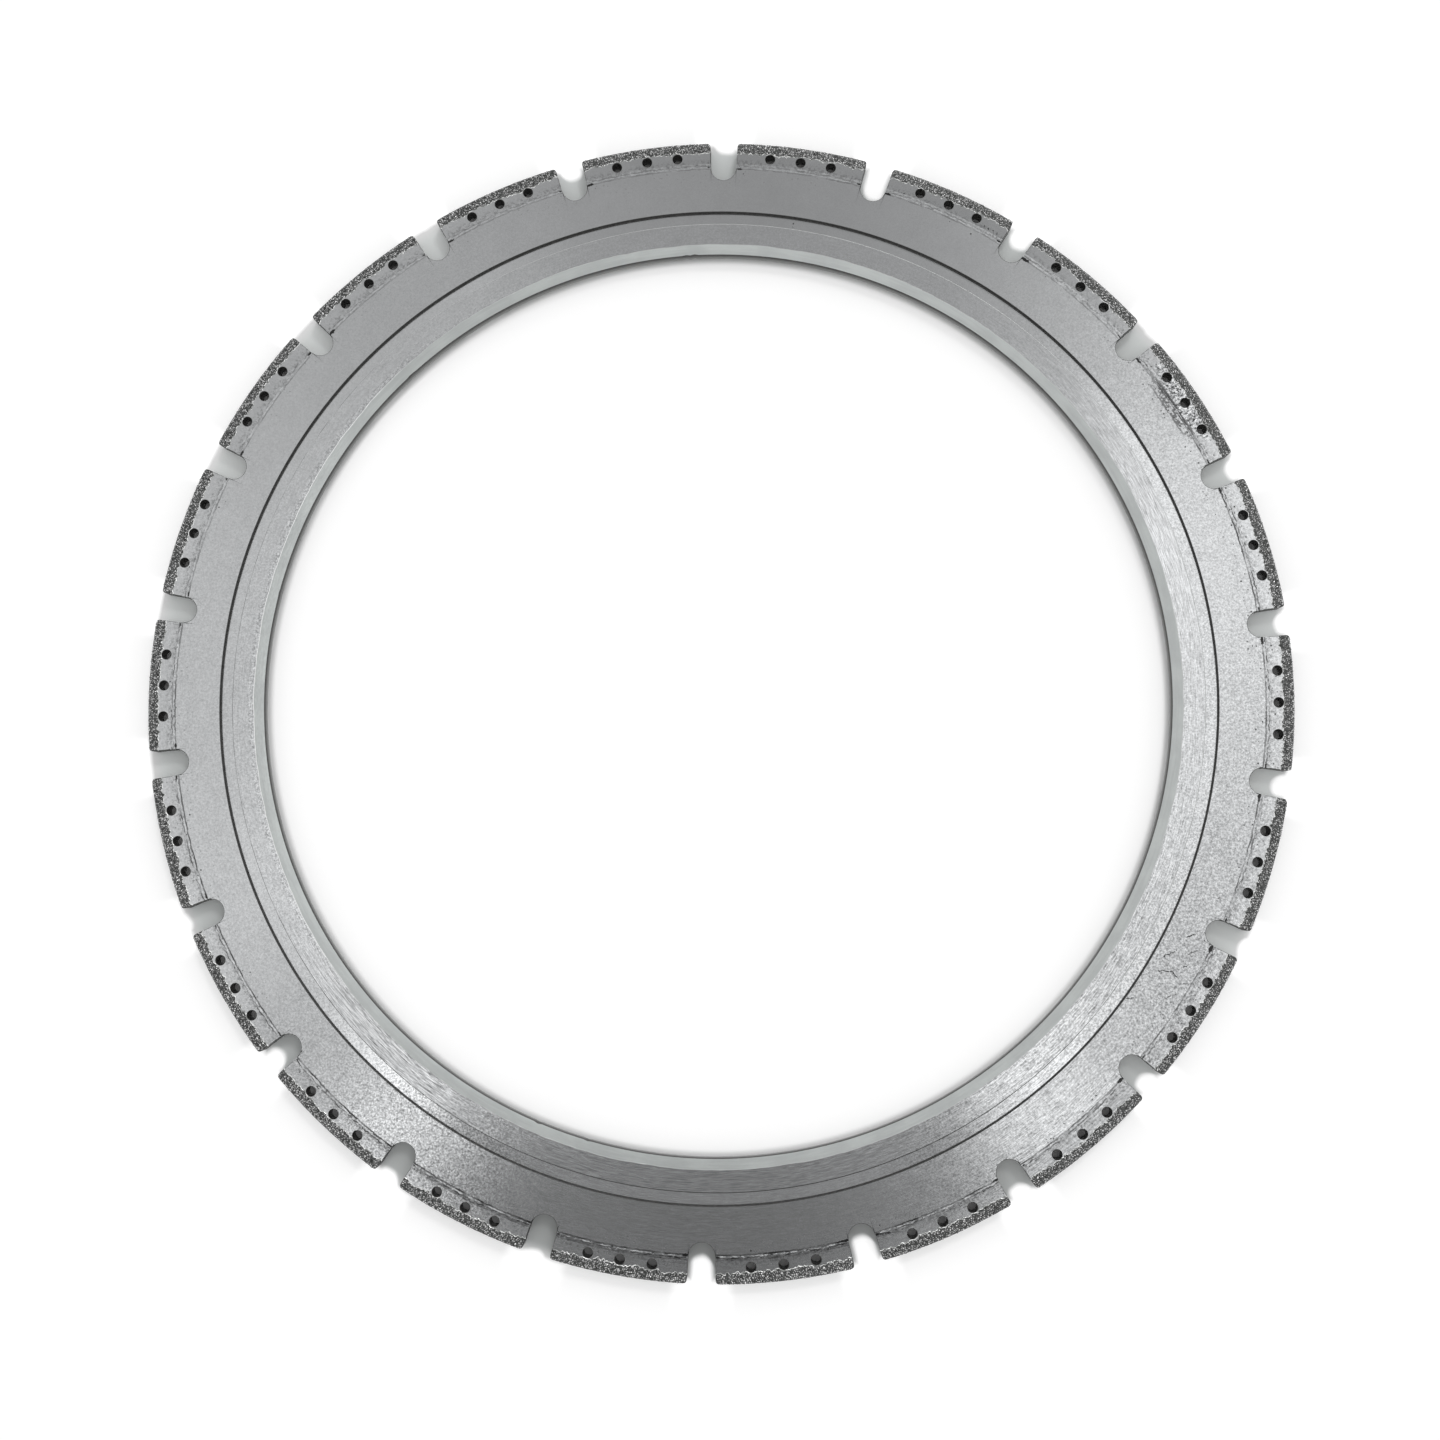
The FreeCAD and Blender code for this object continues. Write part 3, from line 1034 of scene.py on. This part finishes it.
def segmentOutline():
    # One segment from above, centred on +X, anticlockwise
    low = blade["weld"]
    high = blade["steelRim"]
    sweep = np.linspace(0, math.pi / 2, segmentForm["cornerSteps"])
    radii = high - cornerRound * (1 - np.sin(sweep))
    ends = segmentHalf - cornerRound * (1 - np.cos(sweep)) / high
    middle = np.linspace(-ends[-1], ends[-1], segmentForm["arcSteps"])[1:-1]
    angles = np.concatenate([-ends, middle, ends[::-1]])
    outer = onRing(np.concatenate([radii, np.full(len(middle), high), radii[::-1]]), angles, 0.0)
    inner = onRing(low, np.linspace(segmentHalf, -segmentHalf, segmentForm["arcSteps"]), 0.0)
    return np.concatenate([inner, outer])[:, :2]


def leftOf(steps):
    # The directions to the left of each step
    left = np.column_stack([-steps[:, 1], steps[:, 0]])
    return left / np.linalg.norm(left, axis=1)[:, None]


def insetLoop(loop, distance):
    # The loop moved to its left by that distance, corners mitred
    before = leftOf(loop - np.roll(loop, 1, axis=0))
    after = leftOf(np.roll(loop, -1, axis=0) - loop)
    way = before + after
    way /= np.maximum((way * before).sum(axis=1), 0.3)[:, None]
    return loop + way * distance


def faceUp(points, a, b, c, flip):
    ab = np.subtract(points[b], points[a])
    ac = np.subtract(points[c], points[a])
    upward = ab[0] * ac[1] - ab[1] * ac[0] > 0
    return (a, b, c) if upward != flip else (a, c, b)


def plateWithHoles(loops, half, edge):
    # A flat plate with eased edges: each loop runs with the steel on its left
    points = []
    faces = []
    tops = []
    bottoms = []
    for loop in loops:
        upper = [atHeight(insetLoop(loop, inset), half - drop) for inset, drop in easedEdge(edge)]
        rings = upper + [flipOver(ring) for ring in reversed(upper)]
        start = len(points)
        points += np.concatenate(rings).tolist()
        faces += gridFaces(len(rings), len(loop), start, closed=True)
        tops.append(range(start, start + len(loop)))
        bottoms.append(range(len(points) - len(loop), len(points)))
    walls = len(faces)
    for group, flip in ((tops, False), (bottoms, True)):
        order = [index for loop in group for index in loop]
        flat = [[Vector((*points[index][:2], 0)) for index in loop] for loop in group]
        for a, b, c in geometry.tessellate_polygon(flat):
            faces.append(faceUp(points, order[a], order[b], order[c], flip))
    finish = [1] * walls + [0] * (len(faces) - walls)
    return np.array(points), faces, finish


def makeSegments(plain, cut):
    sweep = np.linspace(0, -2 * math.pi, segmentForm["holePoints"], endpoint=False)
    hole = blade["holeRadius"] * np.column_stack([np.cos(sweep), np.sin(sweep)])
    holes = [blade["holeCircle"] * direction(angle) + hole for angle in holeAngles]
    loops = [segmentOutline(), *holes]
    points, faces, finish = plateWithHoles(loops, blade["steelHalf"], segmentForm["edge"])
    for index in range(blade["segments"]):
        placed = turn(points, index * pitch)
        name = f"segment_{index + 1:02d}"
        piece = addPiece(name, placed, faces, [plain, cut], finish, segmentForm["sharp"])
        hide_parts("segments")
    print("segments made:", len(faces), "faces each")


# The diamond coats

gritForm = dict(
    spacing=0.62,
    rowSpacing=0.87,
    jitter=0.25,
    grain=0.35,
    grainSizes=(0.65, 1.12),
    cornerReach=(0.72, 1.15),
    lift=(-0.14, 0.02),
    shoulder=0.45,
    brazeHeight=0.10,
    brazeLumps=0.03,
    brazeColumns=120,
    # The coat's toothed inner edge: its radius, its reach, and the share and teeth of each wave
    edgeIn=171.5,
    ragged=0.34,
    waves=((0.5, 9), (0.4, 30), (0.85, 92)),
    holeMargin=0.08,
    # The section starts inside the coat's inner edge, and the first row of grains a little after it
    startIn=0.8,
    firstRow=0.1,
    # How far the grains keep off the toothed edge, the segment's ends and the rim
    fromEdge=0.25,
    fromEnd=0.2,
    fromRim=0.06,
    brazeRows=(0.0, 0.07, 0.3, 0.55, 0.8, 1.0),
    sharp=20.0,
    seed=7,
)
coatStart = blade["coatInner"] - gritForm["startIn"]
coatBand = blade["steelRim"] - coatStart - gritForm["shoulder"]
coatWall = 2 * (blade["steelHalf"] - gritForm["shoulder"])
coatLength = 2 * coatBand + math.pi * gritForm["shoulder"] + coatWall


def coatPlace(length):
    # A place on the coat's section by its length from the upper band's inner edge:
    # radius, height and the way out, with a rounded shoulder at each rim edge
    shoulder = gritForm["shoulder"]
    along = np.minimum(length, coatLength - length)
    bend = np.clip((along - coatBand) / shoulder, 0, math.pi / 2)
    out = np.sin(bend)
    up = np.cos(bend)
    radius = coatStart + np.minimum(along, coatBand) + shoulder * out
    down = np.maximum(along - coatBand - shoulder * math.pi / 2, 0)
    height = coatWall / 2 + shoulder * up - down
    side = np.where(length > coatLength / 2, -1, 1)
    return np.column_stack([radius, side * height, out, side * up])


def raggedEdge(angles, knots):
    # Inner edge of the coat by angle: a toothed line that keeps off the holes
    waves = np.zeros(len(angles))
    for (share, _), heights in zip(gritForm["waves"], knots):
        places = np.linspace(-segmentHalf, segmentHalf, len(heights))
        waves += share * np.interp(angles, places, heights)
    edge = gritForm["edgeIn"] + waves * gritForm["ragged"]
    clear = blade["holeRadius"] + gritForm["holeMargin"]
    for hole in holeAngles:
        away = np.abs(angles - hole) * blade["holeCircle"]
        rim = blade["holeCircle"] + np.sqrt(np.maximum(clear**2 - away**2, 0))
        edge = np.where(away < clear, np.maximum(edge, rim), edge)
    return edge


def roundStone():
    # A ball of twelve corners and its faces
    golden = (1 + 5**0.5) / 2
    ball = []
    for a, b in itertools.product((-1, 1), (-golden, golden)):
        ball += [(0, a, b), (a, b, 0), (b, 0, a)]
    ball = np.array(ball) / math.sqrt(1 + golden * golden)
    faces = []
    for i, j, k in itertools.permutations(range(len(ball)), 3):
        normal = np.cross(ball[j] - ball[i], ball[k] - ball[i])
        # A face has every other corner behind it
        if i < min(j, k) and np.all((ball - ball[i]) @ normal < 1e-6):
            faces.append((i, j, k))
    return ball, np.array(faces)


def turnedStones(stones, random):
    # Each stone turned at random
    spin = random.normal(size=(len(stones), 4))
    spin /= np.linalg.norm(spin, axis=1)[:, None]
    w, x, y, z = spin.T
    rotation = np.stack([
        np.stack([1 - 2 * (y * y + z * z), 2 * (x * y - z * w), 2 * (x * z + y * w)], axis=-1),
        np.stack([2 * (x * y + z * w), 1 - 2 * (x * x + z * z), 2 * (y * z - x * w)], axis=-1),
        np.stack([2 * (x * z - y * w), 2 * (y * z + x * w), 1 - 2 * (x * x + y * y)], axis=-1),
    ], axis=1)
    return np.einsum("nij,nkj->nki", rotation, stones)


def scatteredGrains(random, knots):
    # Where each grain sits: its angle and its place on the coat's section
    spacing = gritForm["spacing"]
    jitter = gritForm["jitter"]
    turnStep = spacing / blade["steelRim"]
    along = np.arange(-segmentHalf, segmentHalf, turnStep)
    across = np.arange(gritForm["firstRow"], coatLength, spacing * gritForm["rowSpacing"])
    angles, lengths = np.meshgrid(along, across)
    # Every other row is shifted by half a step
    angles = angles + (np.arange(len(across)) % 2)[:, None] * turnStep / 2
    angles = (angles + random.uniform(-jitter, jitter, angles.shape) * turnStep).ravel()
    lengths = (lengths + random.uniform(-jitter, jitter, lengths.shape) * spacing).ravel()
    place = coatPlace(np.clip(lengths, 0, coatLength))
    low = raggedEdge(angles, knots) + gritForm["fromEdge"]
    trim = cornerTrim(place[:, 0], blade["steelRim"] + gritForm["brazeHeight"])
    endAngle = segmentHalf - (gritForm["fromEnd"] + trim) / blade["steelRim"]
    kept = (place[:, 0] > low) & (np.abs(angles) < endAngle)
    return angles[kept], place[kept]


def makeStones(random, angles, place):
    # The grains as small rough balls, turned at random and sunk into the braze
    count = len(angles)
    ball, ballFaces = roundStone()
    corners = len(ball)
    grains = ball[None] * random.uniform(*gritForm["cornerReach"], (count, corners, 1))
    size = gritForm["grain"] * random.uniform(*gritForm["grainSizes"], count)
    grains = turnedStones(grains * size[:, None, None], random)
    lift = random.uniform(*gritForm["lift"], count)
    centres = onRing(place[:, 0] + place[:, 2] * lift, angles, place[:, 1] + place[:, 3] * lift)
    points = grains + centres[:, None, :]
    # No grain stands out past the coat's own rim and faces
    far = np.hypot(points[..., 0], points[..., 1])
    limit = blade["rim"] - gritForm["fromRim"]
    points[..., :2] *= np.where(far > limit, limit / far, 1.0)[..., None]
    points[..., 2] = np.clip(points[..., 2], -blade["coatHalf"], blade["coatHalf"])
    faces = ballFaces[None] + (np.arange(count) * corners)[:, None, None]
    return points.reshape(-1, 3), faces.reshape(-1, 3).tolist()


def brazeRows(inner):
    # Radius and height of each row of the braze, from the upper inner edge round to the lower one
    half = blade["steelHalf"]
    high = blade["steelRim"]
    skin = gritForm["brazeHeight"]
    shoulder = gritForm["shoulder"]
    rows = []
    for share in gritForm["brazeRows"]:
        lift = 0.0 if share == 0 else skin
        rows.append((inner + (high - shoulder - inner) * share, half + lift))
    reach = shoulder + skin
    for bend in (math.pi / 6, math.pi / 3):
        rows.append((high - shoulder + reach * math.sin(bend), half - shoulder + reach * math.cos(bend)))
    rows.append((high + skin, half - shoulder))
    lower = [(radius, -height) for radius, height in reversed(rows)]
    return rows + [(high + skin, 0.0)] + lower


def brazeBed(random, knots):
    # The braze between the grains: a thin lumpy skin on the steel
    columns = gritForm["brazeColumns"]
    angles = np.linspace(-segmentHalf, segmentHalf, columns)
    rows = brazeRows(raggedEdge(angles, knots))
    high = blade["steelRim"]
    points = []
    for number, (radius, height) in enumerate(rows):
        shake = 0.0 if number in (0, len(rows) - 1) else gritForm["brazeLumps"]
        radius = radius + random.normal(0, 1, columns) * shake
        height = height + np.sign(height) * random.normal(0, 1, columns) * shake
        narrowed = 1 - cornerTrim(radius, high + gritForm["brazeHeight"]) / (segmentHalf * high)
        points.append(onRing(radius, angles * narrowed, height))
    faces = gridFaces(len(rows), columns)
    # The first and the last strip are the lip, with its painted highlight
    marks = np.repeat([2] + [1] * (len(rows) - 3) + [2], columns - 1).tolist()
    return np.concatenate(points), faces, marks


def makeCoat(index, materials):
    random = np.random.default_rng(gritForm["seed"] + index)
    knots = [random.normal(0, 1, teeth) for _, teeth in gritForm["waves"]]
    points, faces = makeStones(random, *scatteredGrains(random, knots))
    bed, bedFaces, bedMarks = brazeBed(random, knots)
    marks = [0] * len(faces) + bedMarks
    faces += [tuple(corner + len(points) for corner in face) for face in bedFaces]
    placed = turn(np.concatenate([points, bed]), index * pitch)
    name = f"diamond_coat_{index + 1:02d}"
    piece = addPiece(name, placed, faces, materials, marks, gritForm["sharp"])
    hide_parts("diamond_coats")
    return len(faces)


def makeCoats(*materials):
    count = sum(makeCoat(index, materials) for index in range(blade["segments"]))
    print("coats made:", count, "faces")


# The welds

weldForm = dict(
    # Offset from the weld's radius, rise of the bead, and whether it lies on the segment's higher face
    profile=[
        (-0.85, -0.3, 0), (-0.60, 0.4, 0), (-0.35, 1.0, 0), (-0.06, 0.5, 0), (-0.01, 0.5, 1),
        (0.35, 1.0, 1), (0.70, 1.0, 1), (0.95, 0.4, 1), (1.30, -0.3, 1),
    ],
    crown=0.02,
    columns=150,
    lumps=60,
    lumpSizes=(0.1, 1.3),
    sharp=30.0,
    seed=40,
)


def beadPoints(angles, lumps):
    # The bead on the upper face, row by row; only its crown is lumpy
    points = []
    for offset, rise, onSegment in weldForm["profile"]:
        base = blade["steelHalf"] if onSegment else blade["coreHalf"]
        height = base + weldForm["crown"] * rise * (lumps if rise > 0.9 else 1.0)
        points.append(onRing(blade["weld"] + offset, angles, height))
    return np.concatenate(points)


def makeWelds(material):
    # A narrow uneven bead between the core and each segment, on both faces
    random = np.random.default_rng(weldForm["seed"])
    columns = weldForm["columns"]
    rows = len(weldForm["profile"])
    angles = np.linspace(-segmentHalf, segmentHalf, columns)
    lumpAngles = np.linspace(-segmentHalf, segmentHalf, weldForm["lumps"])
    faces = gridFaces(rows, columns)
    faces += [face[::-1] for face in gridFaces(rows, columns, rows * columns)]
    finish = [0] * len(faces)
    for index in range(blade["segments"]):
        sizes = [random.uniform(*weldForm["lumpSizes"], weldForm["lumps"]) for _ in range(2)]
        upper, lower = (beadPoints(angles, np.interp(angles, lumpAngles, size)) for size in sizes)
        placed = turn(np.concatenate([upper, flipOver(lower)]), index * pitch)
        name = f"weld_{index + 1:02d}"
        addPiece(name, placed, faces, [material], finish, weldForm["sharp"])
    print("welds made")


# The room: a pale floor, a soft dome with dim and bright panels overhead, and one key light

floorLook = dict(
    z=-0.0024,
    size=3.0,
    shade=0.75,
    mottle=0.005,
    mottleSize=0.025,
    gloss={"Roughness": 0.9, "Specular IOR Level": 0.1, "Emission Color": (1, 1, 1, 1)},
    # How white it glows for the camera, and how much more in the mouths of the gullets
    lift=0.34,
    gulletLift=0.22,
    mouthIn=(159.0, 161.0),
    mouthOut=(175.0, 186.0),
    # The white ends at the bore and starts again near the rim
    bareFrom=(136.5, 138.7),
    rimWhite=173.2,
    rimEdge=(-1.0, 1.5),
    sureWhite=(blade["rim"], 177.2),
    # The gullets lie this far along from a segment's middle
    gulletEdge=(14.0, 17.0),
    whiteRange=(160, 180),
    # The radius where the paper turns white in each gullet, and how pale it is before that
    gulletWhite=[
        (0, 172), (25, 171.6), (41, 175.6), (57, 169.4), (74, 164.5), (90, 173.4), (106, 171),
        (123, 175.8), (139, 176.5), (172, 177), (188, 176), (205, 174.8), (221, 170), (237, 173),
        (254, 174.6), (270, 167.4), (286, 166.8), (303, 171.6), (319, 170.6), (335, 174.4),
        (352, 170.2), (360, 172),
    ],
    gulletPale=[
        (0, 0.13), (25, 0.1), (41, 0.06), (57, 0.03), (90, 0.02), (106, 0.06), (123, 0.16),
        (155, 0.16), (172, 0.09), (205, 0.0), (221, 0.0), (237, 0.035), (254, 0.03), (303, 0.075),
        (319, 0.1), (335, 0.14), (360, 0.13),
    ],
    # How fast the edge runs outward on each side of a gullet's middle
    gulletBend=(0.24, 0.08),
    # Close to a gullet's walls the white is weak, up to these radii
    wallFade=(-0.2, 1.8, 0.1, 1.0),
    wallWhite=(173.0, 176.0),
    bareTint=(0.965, 1.0, 0.99, 1),
    # The gullets on the camera's side get a painted shadow
    shadow=(0.06, 0.06, 0.06, 1),
    gulletShade=0.5,
)


def paperEdge(ring, inGullet, look):
    # One where the paper is white outside the blade, from the rim or a radius of each gullet's own
    onward = ring.alongSegment()
    aside = calc("MINIMUM", pitch / 2 * blade["weld"] - abs(onward), blade["gulletRadius"])
    low, high = look["whiteRange"]
    stops = [(angle, (radius - low) / (high - low)) for angle, radius in look["gulletWhite"]]
    later = ring.around(stops) * (high - low) + (low - look["rimWhite"])
    start = later * inGullet + look["rimWhite"]
    bow = aside * aside * (inGullet * fade(onward, -1.0, 1.0, *look["gulletBend"]))
    outer = fade(ring.radius - start - bow, *look["rimEdge"])
    fromWall = blade["gulletRadius"] - aside
    outer = outer * larger(fade(fromWall, *look["wallFade"]), fade(ring.radius, *look["wallWhite"]))
    return larger(outer, fade(ring.radius, *look["sureWhite"]))


def floorMaterial(look):
    # White away from the blade; the bare paper shows in a band beneath it and in the gullets
    material, tree, shader = newMaterial("floor_white")
    place = Level(tree, addNode(tree, "ShaderNodeTexCoord").outputs["Object"])
    mottle = noise(place, scale=1 / look["mottleSize"])
    colour = shades(mottle, [(0.3, look["shade"] - look["mottle"]), (0.7, look["shade"])])
    ring = Ring(tree)
    inGullet = fade(abs(ring.alongSegment()), *look["gulletEdge"])
    outer = paperEdge(ring, inGullet, look)
    inner = fadeOut(ring.radius, *look["bareFrom"])
    white = larger(inner, outer, ring.around(look["gulletPale"]) * inGullet)
    closed = ring.band("gullets") * inGullet * (1.0 - outer)
    colour = blend(closed, colour, look["bareTint"], "MULTIPLY")
    # Painted shadow in the gullets on the camera's side, toward -Y
    south = larger(ring.y / ring.radius * -1.0, 0.0) ** 3.0
    colour = blend(south * closed * look["gulletShade"], colour, look["shadow"])
    # Only the rays that are seen get the glow, so it lights nothing
    rays = addNode(tree, "ShaderNodeLightPath").outputs
    kinds = ("Is Camera Ray", "Is Glossy Ray", "Is Transmission Ray")
    seen = larger(*(Level(tree, rays[kind]) for kind in kinds))
    mouth = fade(ring.radius, *look["mouthIn"]) * fadeOut(ring.radius, *look["mouthOut"]) * inGullet
    lift = mouth * look["gulletLift"] + look["lift"]
    setInputs(shader, {**look["gloss"], "Base Color": colour, "Emission Strength": seen * white * lift})
    return material


def makeFloor():
    mesh = bpy.data.meshes.new("floor")
    reach = floorLook["size"] / 2
    corners = [(-reach, -reach, 0), (reach, -reach, 0), (reach, reach, 0), (-reach, reach, 0)]
    mesh.from_pydata(corners, [], [(0, 1, 2, 3)])
    mesh.materials.append(floorMaterial(floorLook))
    floor = bpy.data.objects.new("floor", mesh)
    floor.location.z = floorLook["z"]
    bpy.context.scene.collection.objects.link(floor)


light = dict(
    # The dome's levels from overhead down, and the degrees from overhead over which each one sets in
    zenith=0.70,
    panelsFrom=(1, 7),
    side=0.62,
    sideFrom=(32, 40),
    wall=0.95,
    wallBright=0.55,
    wallFrom=(50, 58),
    backdrop=1.0,
    backdropFrom=(80, 87),
    # How bright the panels are round the zenith
    panels=[
        (0, 0.9), (20, 1.05), (38, 1.2), (46, 1.1), (60, 0.7), (75, 0.4), (95, 0.4), (112, 0.5),
        (120, 0.58), (128, 0.56), (156, 0.8), (172, 0.8), (188, 0.95), (203, 0.6), (211, 0.75),
        (216, 1.8), (220, 1.5), (225, 0.1), (231, 0.2), (280, 0.2), (288, 0.3), (302, 0.25),
        (307, 0.8), (312, 1.35), (320, 1.3), (332, 0.85), (346, 0.8), (360, 0.9),
    ],
    keyAzimuth=68.0,
    keyHeight=44.0,
    keyStrength=0.5,
    keyWidth=12.0,
)


def makeDome():
    # Level by direction: zenith, a ring of panels round it, an even side, the walls and a backdrop
    world = bpy.data.worlds.new("studio_dome")
    bpy.context.scene.world = world
    world.use_nodes = True
    tree = world.node_tree
    tree.nodes.clear()
    x, y, z = split(Level(tree, addNode(tree, "ShaderNodeTexCoord").outputs["Generated"]))
    azimuth = calc("ARCTAN2", y, x)
    tilt = calc("ARCCOSINE", z)
    # The levels are halved in the ramp, to stay below one, and doubled again
    panels = byAngle(azimuth, [(angle, level / 2) for angle, level in light["panels"]]) * 2.0
    # The wall on the key's side is the brighter one
    facing = calc("COSINE", azimuth - math.radians(light["keyAzimuth"]))
    wall = fade(facing, 0.0, 1.0, light["wall"], light["wall"] + light["wallBright"])
    level = light["zenith"]
    steps = {
        "panelsFrom": panels,
        "sideFrom": light["side"],
        "wallFrom": wall,
        "backdropFrom": light["backdrop"],
    }
    for tilts, lower in steps.items():
        share = fade(tilt, *(math.radians(degrees) for degrees in light[tilts]))
        level = share * (lower - level) + level
    background = addNode(tree, "ShaderNodeBackground")
    setInputs(background, {"Color": (1, 1, 1, 1), "Strength": level})
    out = addNode(tree, "ShaderNodeOutputWorld")
    tree.links.new(background.outputs[0], out.inputs["Surface"])


def makeKey():
    sun = bpy.data.lights.new("key", "SUN")
    sun.energy = light["keyStrength"]
    sun.angle = math.radians(light["keyWidth"])
    key = bpy.data.objects.new("key", sun)
    bpy.context.scene.collection.objects.link(key)
    # From the key's azimuth, and tipped down from overhead to its height
    tip = math.radians(90 - light["keyHeight"])
    key.rotation_euler = (0, tip, math.radians(light["keyAzimuth"]))


# The camera stands where the photograph was taken from, nearly over the ring

view = dict(
    place=(0.0208, -0.0502, 0.4562),
    aim=(0.0023, -0.0080, 0.0021),
    rollDegrees=1.13,
    lens=37.5,
    sensorWidth=36,
    clipStart=0.01,
)


def makeCamera():
    data = bpy.data.cameras.new("camera")
    data.lens = view["lens"]
    data.sensor_width = view["sensorWidth"]
    data.clip_start = view["clipStart"]
    camera = bpy.data.objects.new("camera", data)
    bpy.context.scene.collection.objects.link(camera)
    place = Vector(view["place"])
    forward = (Vector(view["aim"]) - place).normalized()
    right = forward.cross(Vector((0, 1, 0))).normalized()
    up = right.cross(forward)
    # The roll turns right and up about the line of sight
    roll = math.radians(view["rollDegrees"])
    rolledRight = right * math.cos(roll) + up * math.sin(roll)
    rolledUp = up * math.cos(roll) - right * math.sin(roll)
    axes = Matrix((rolledRight, rolledUp, -forward)).transposed()
    camera.matrix_world = Matrix.Translation(place) @ axes.to_4x4()
    bpy.context.scene.camera = camera


plainSteel = turnedSteel(steelLook)
cut = shadedCutSteel(cutLook)
makeCore(plainSteel, flankSteel(flankLook), cut, glintSteel(glintLook))
makeSegments(plainSteel, cut)
makeWelds(weldSteel(weldLook, steelLook))
makeCoats(gritMaterial(gritLook), brazeMaterial(gritLook), lipMaterial(gritLook))

makeFloor()
makeDome()
makeKey()
makeCamera()
bpy.context.scene.view_settings.view_transform = "Standard"
print("studio made")
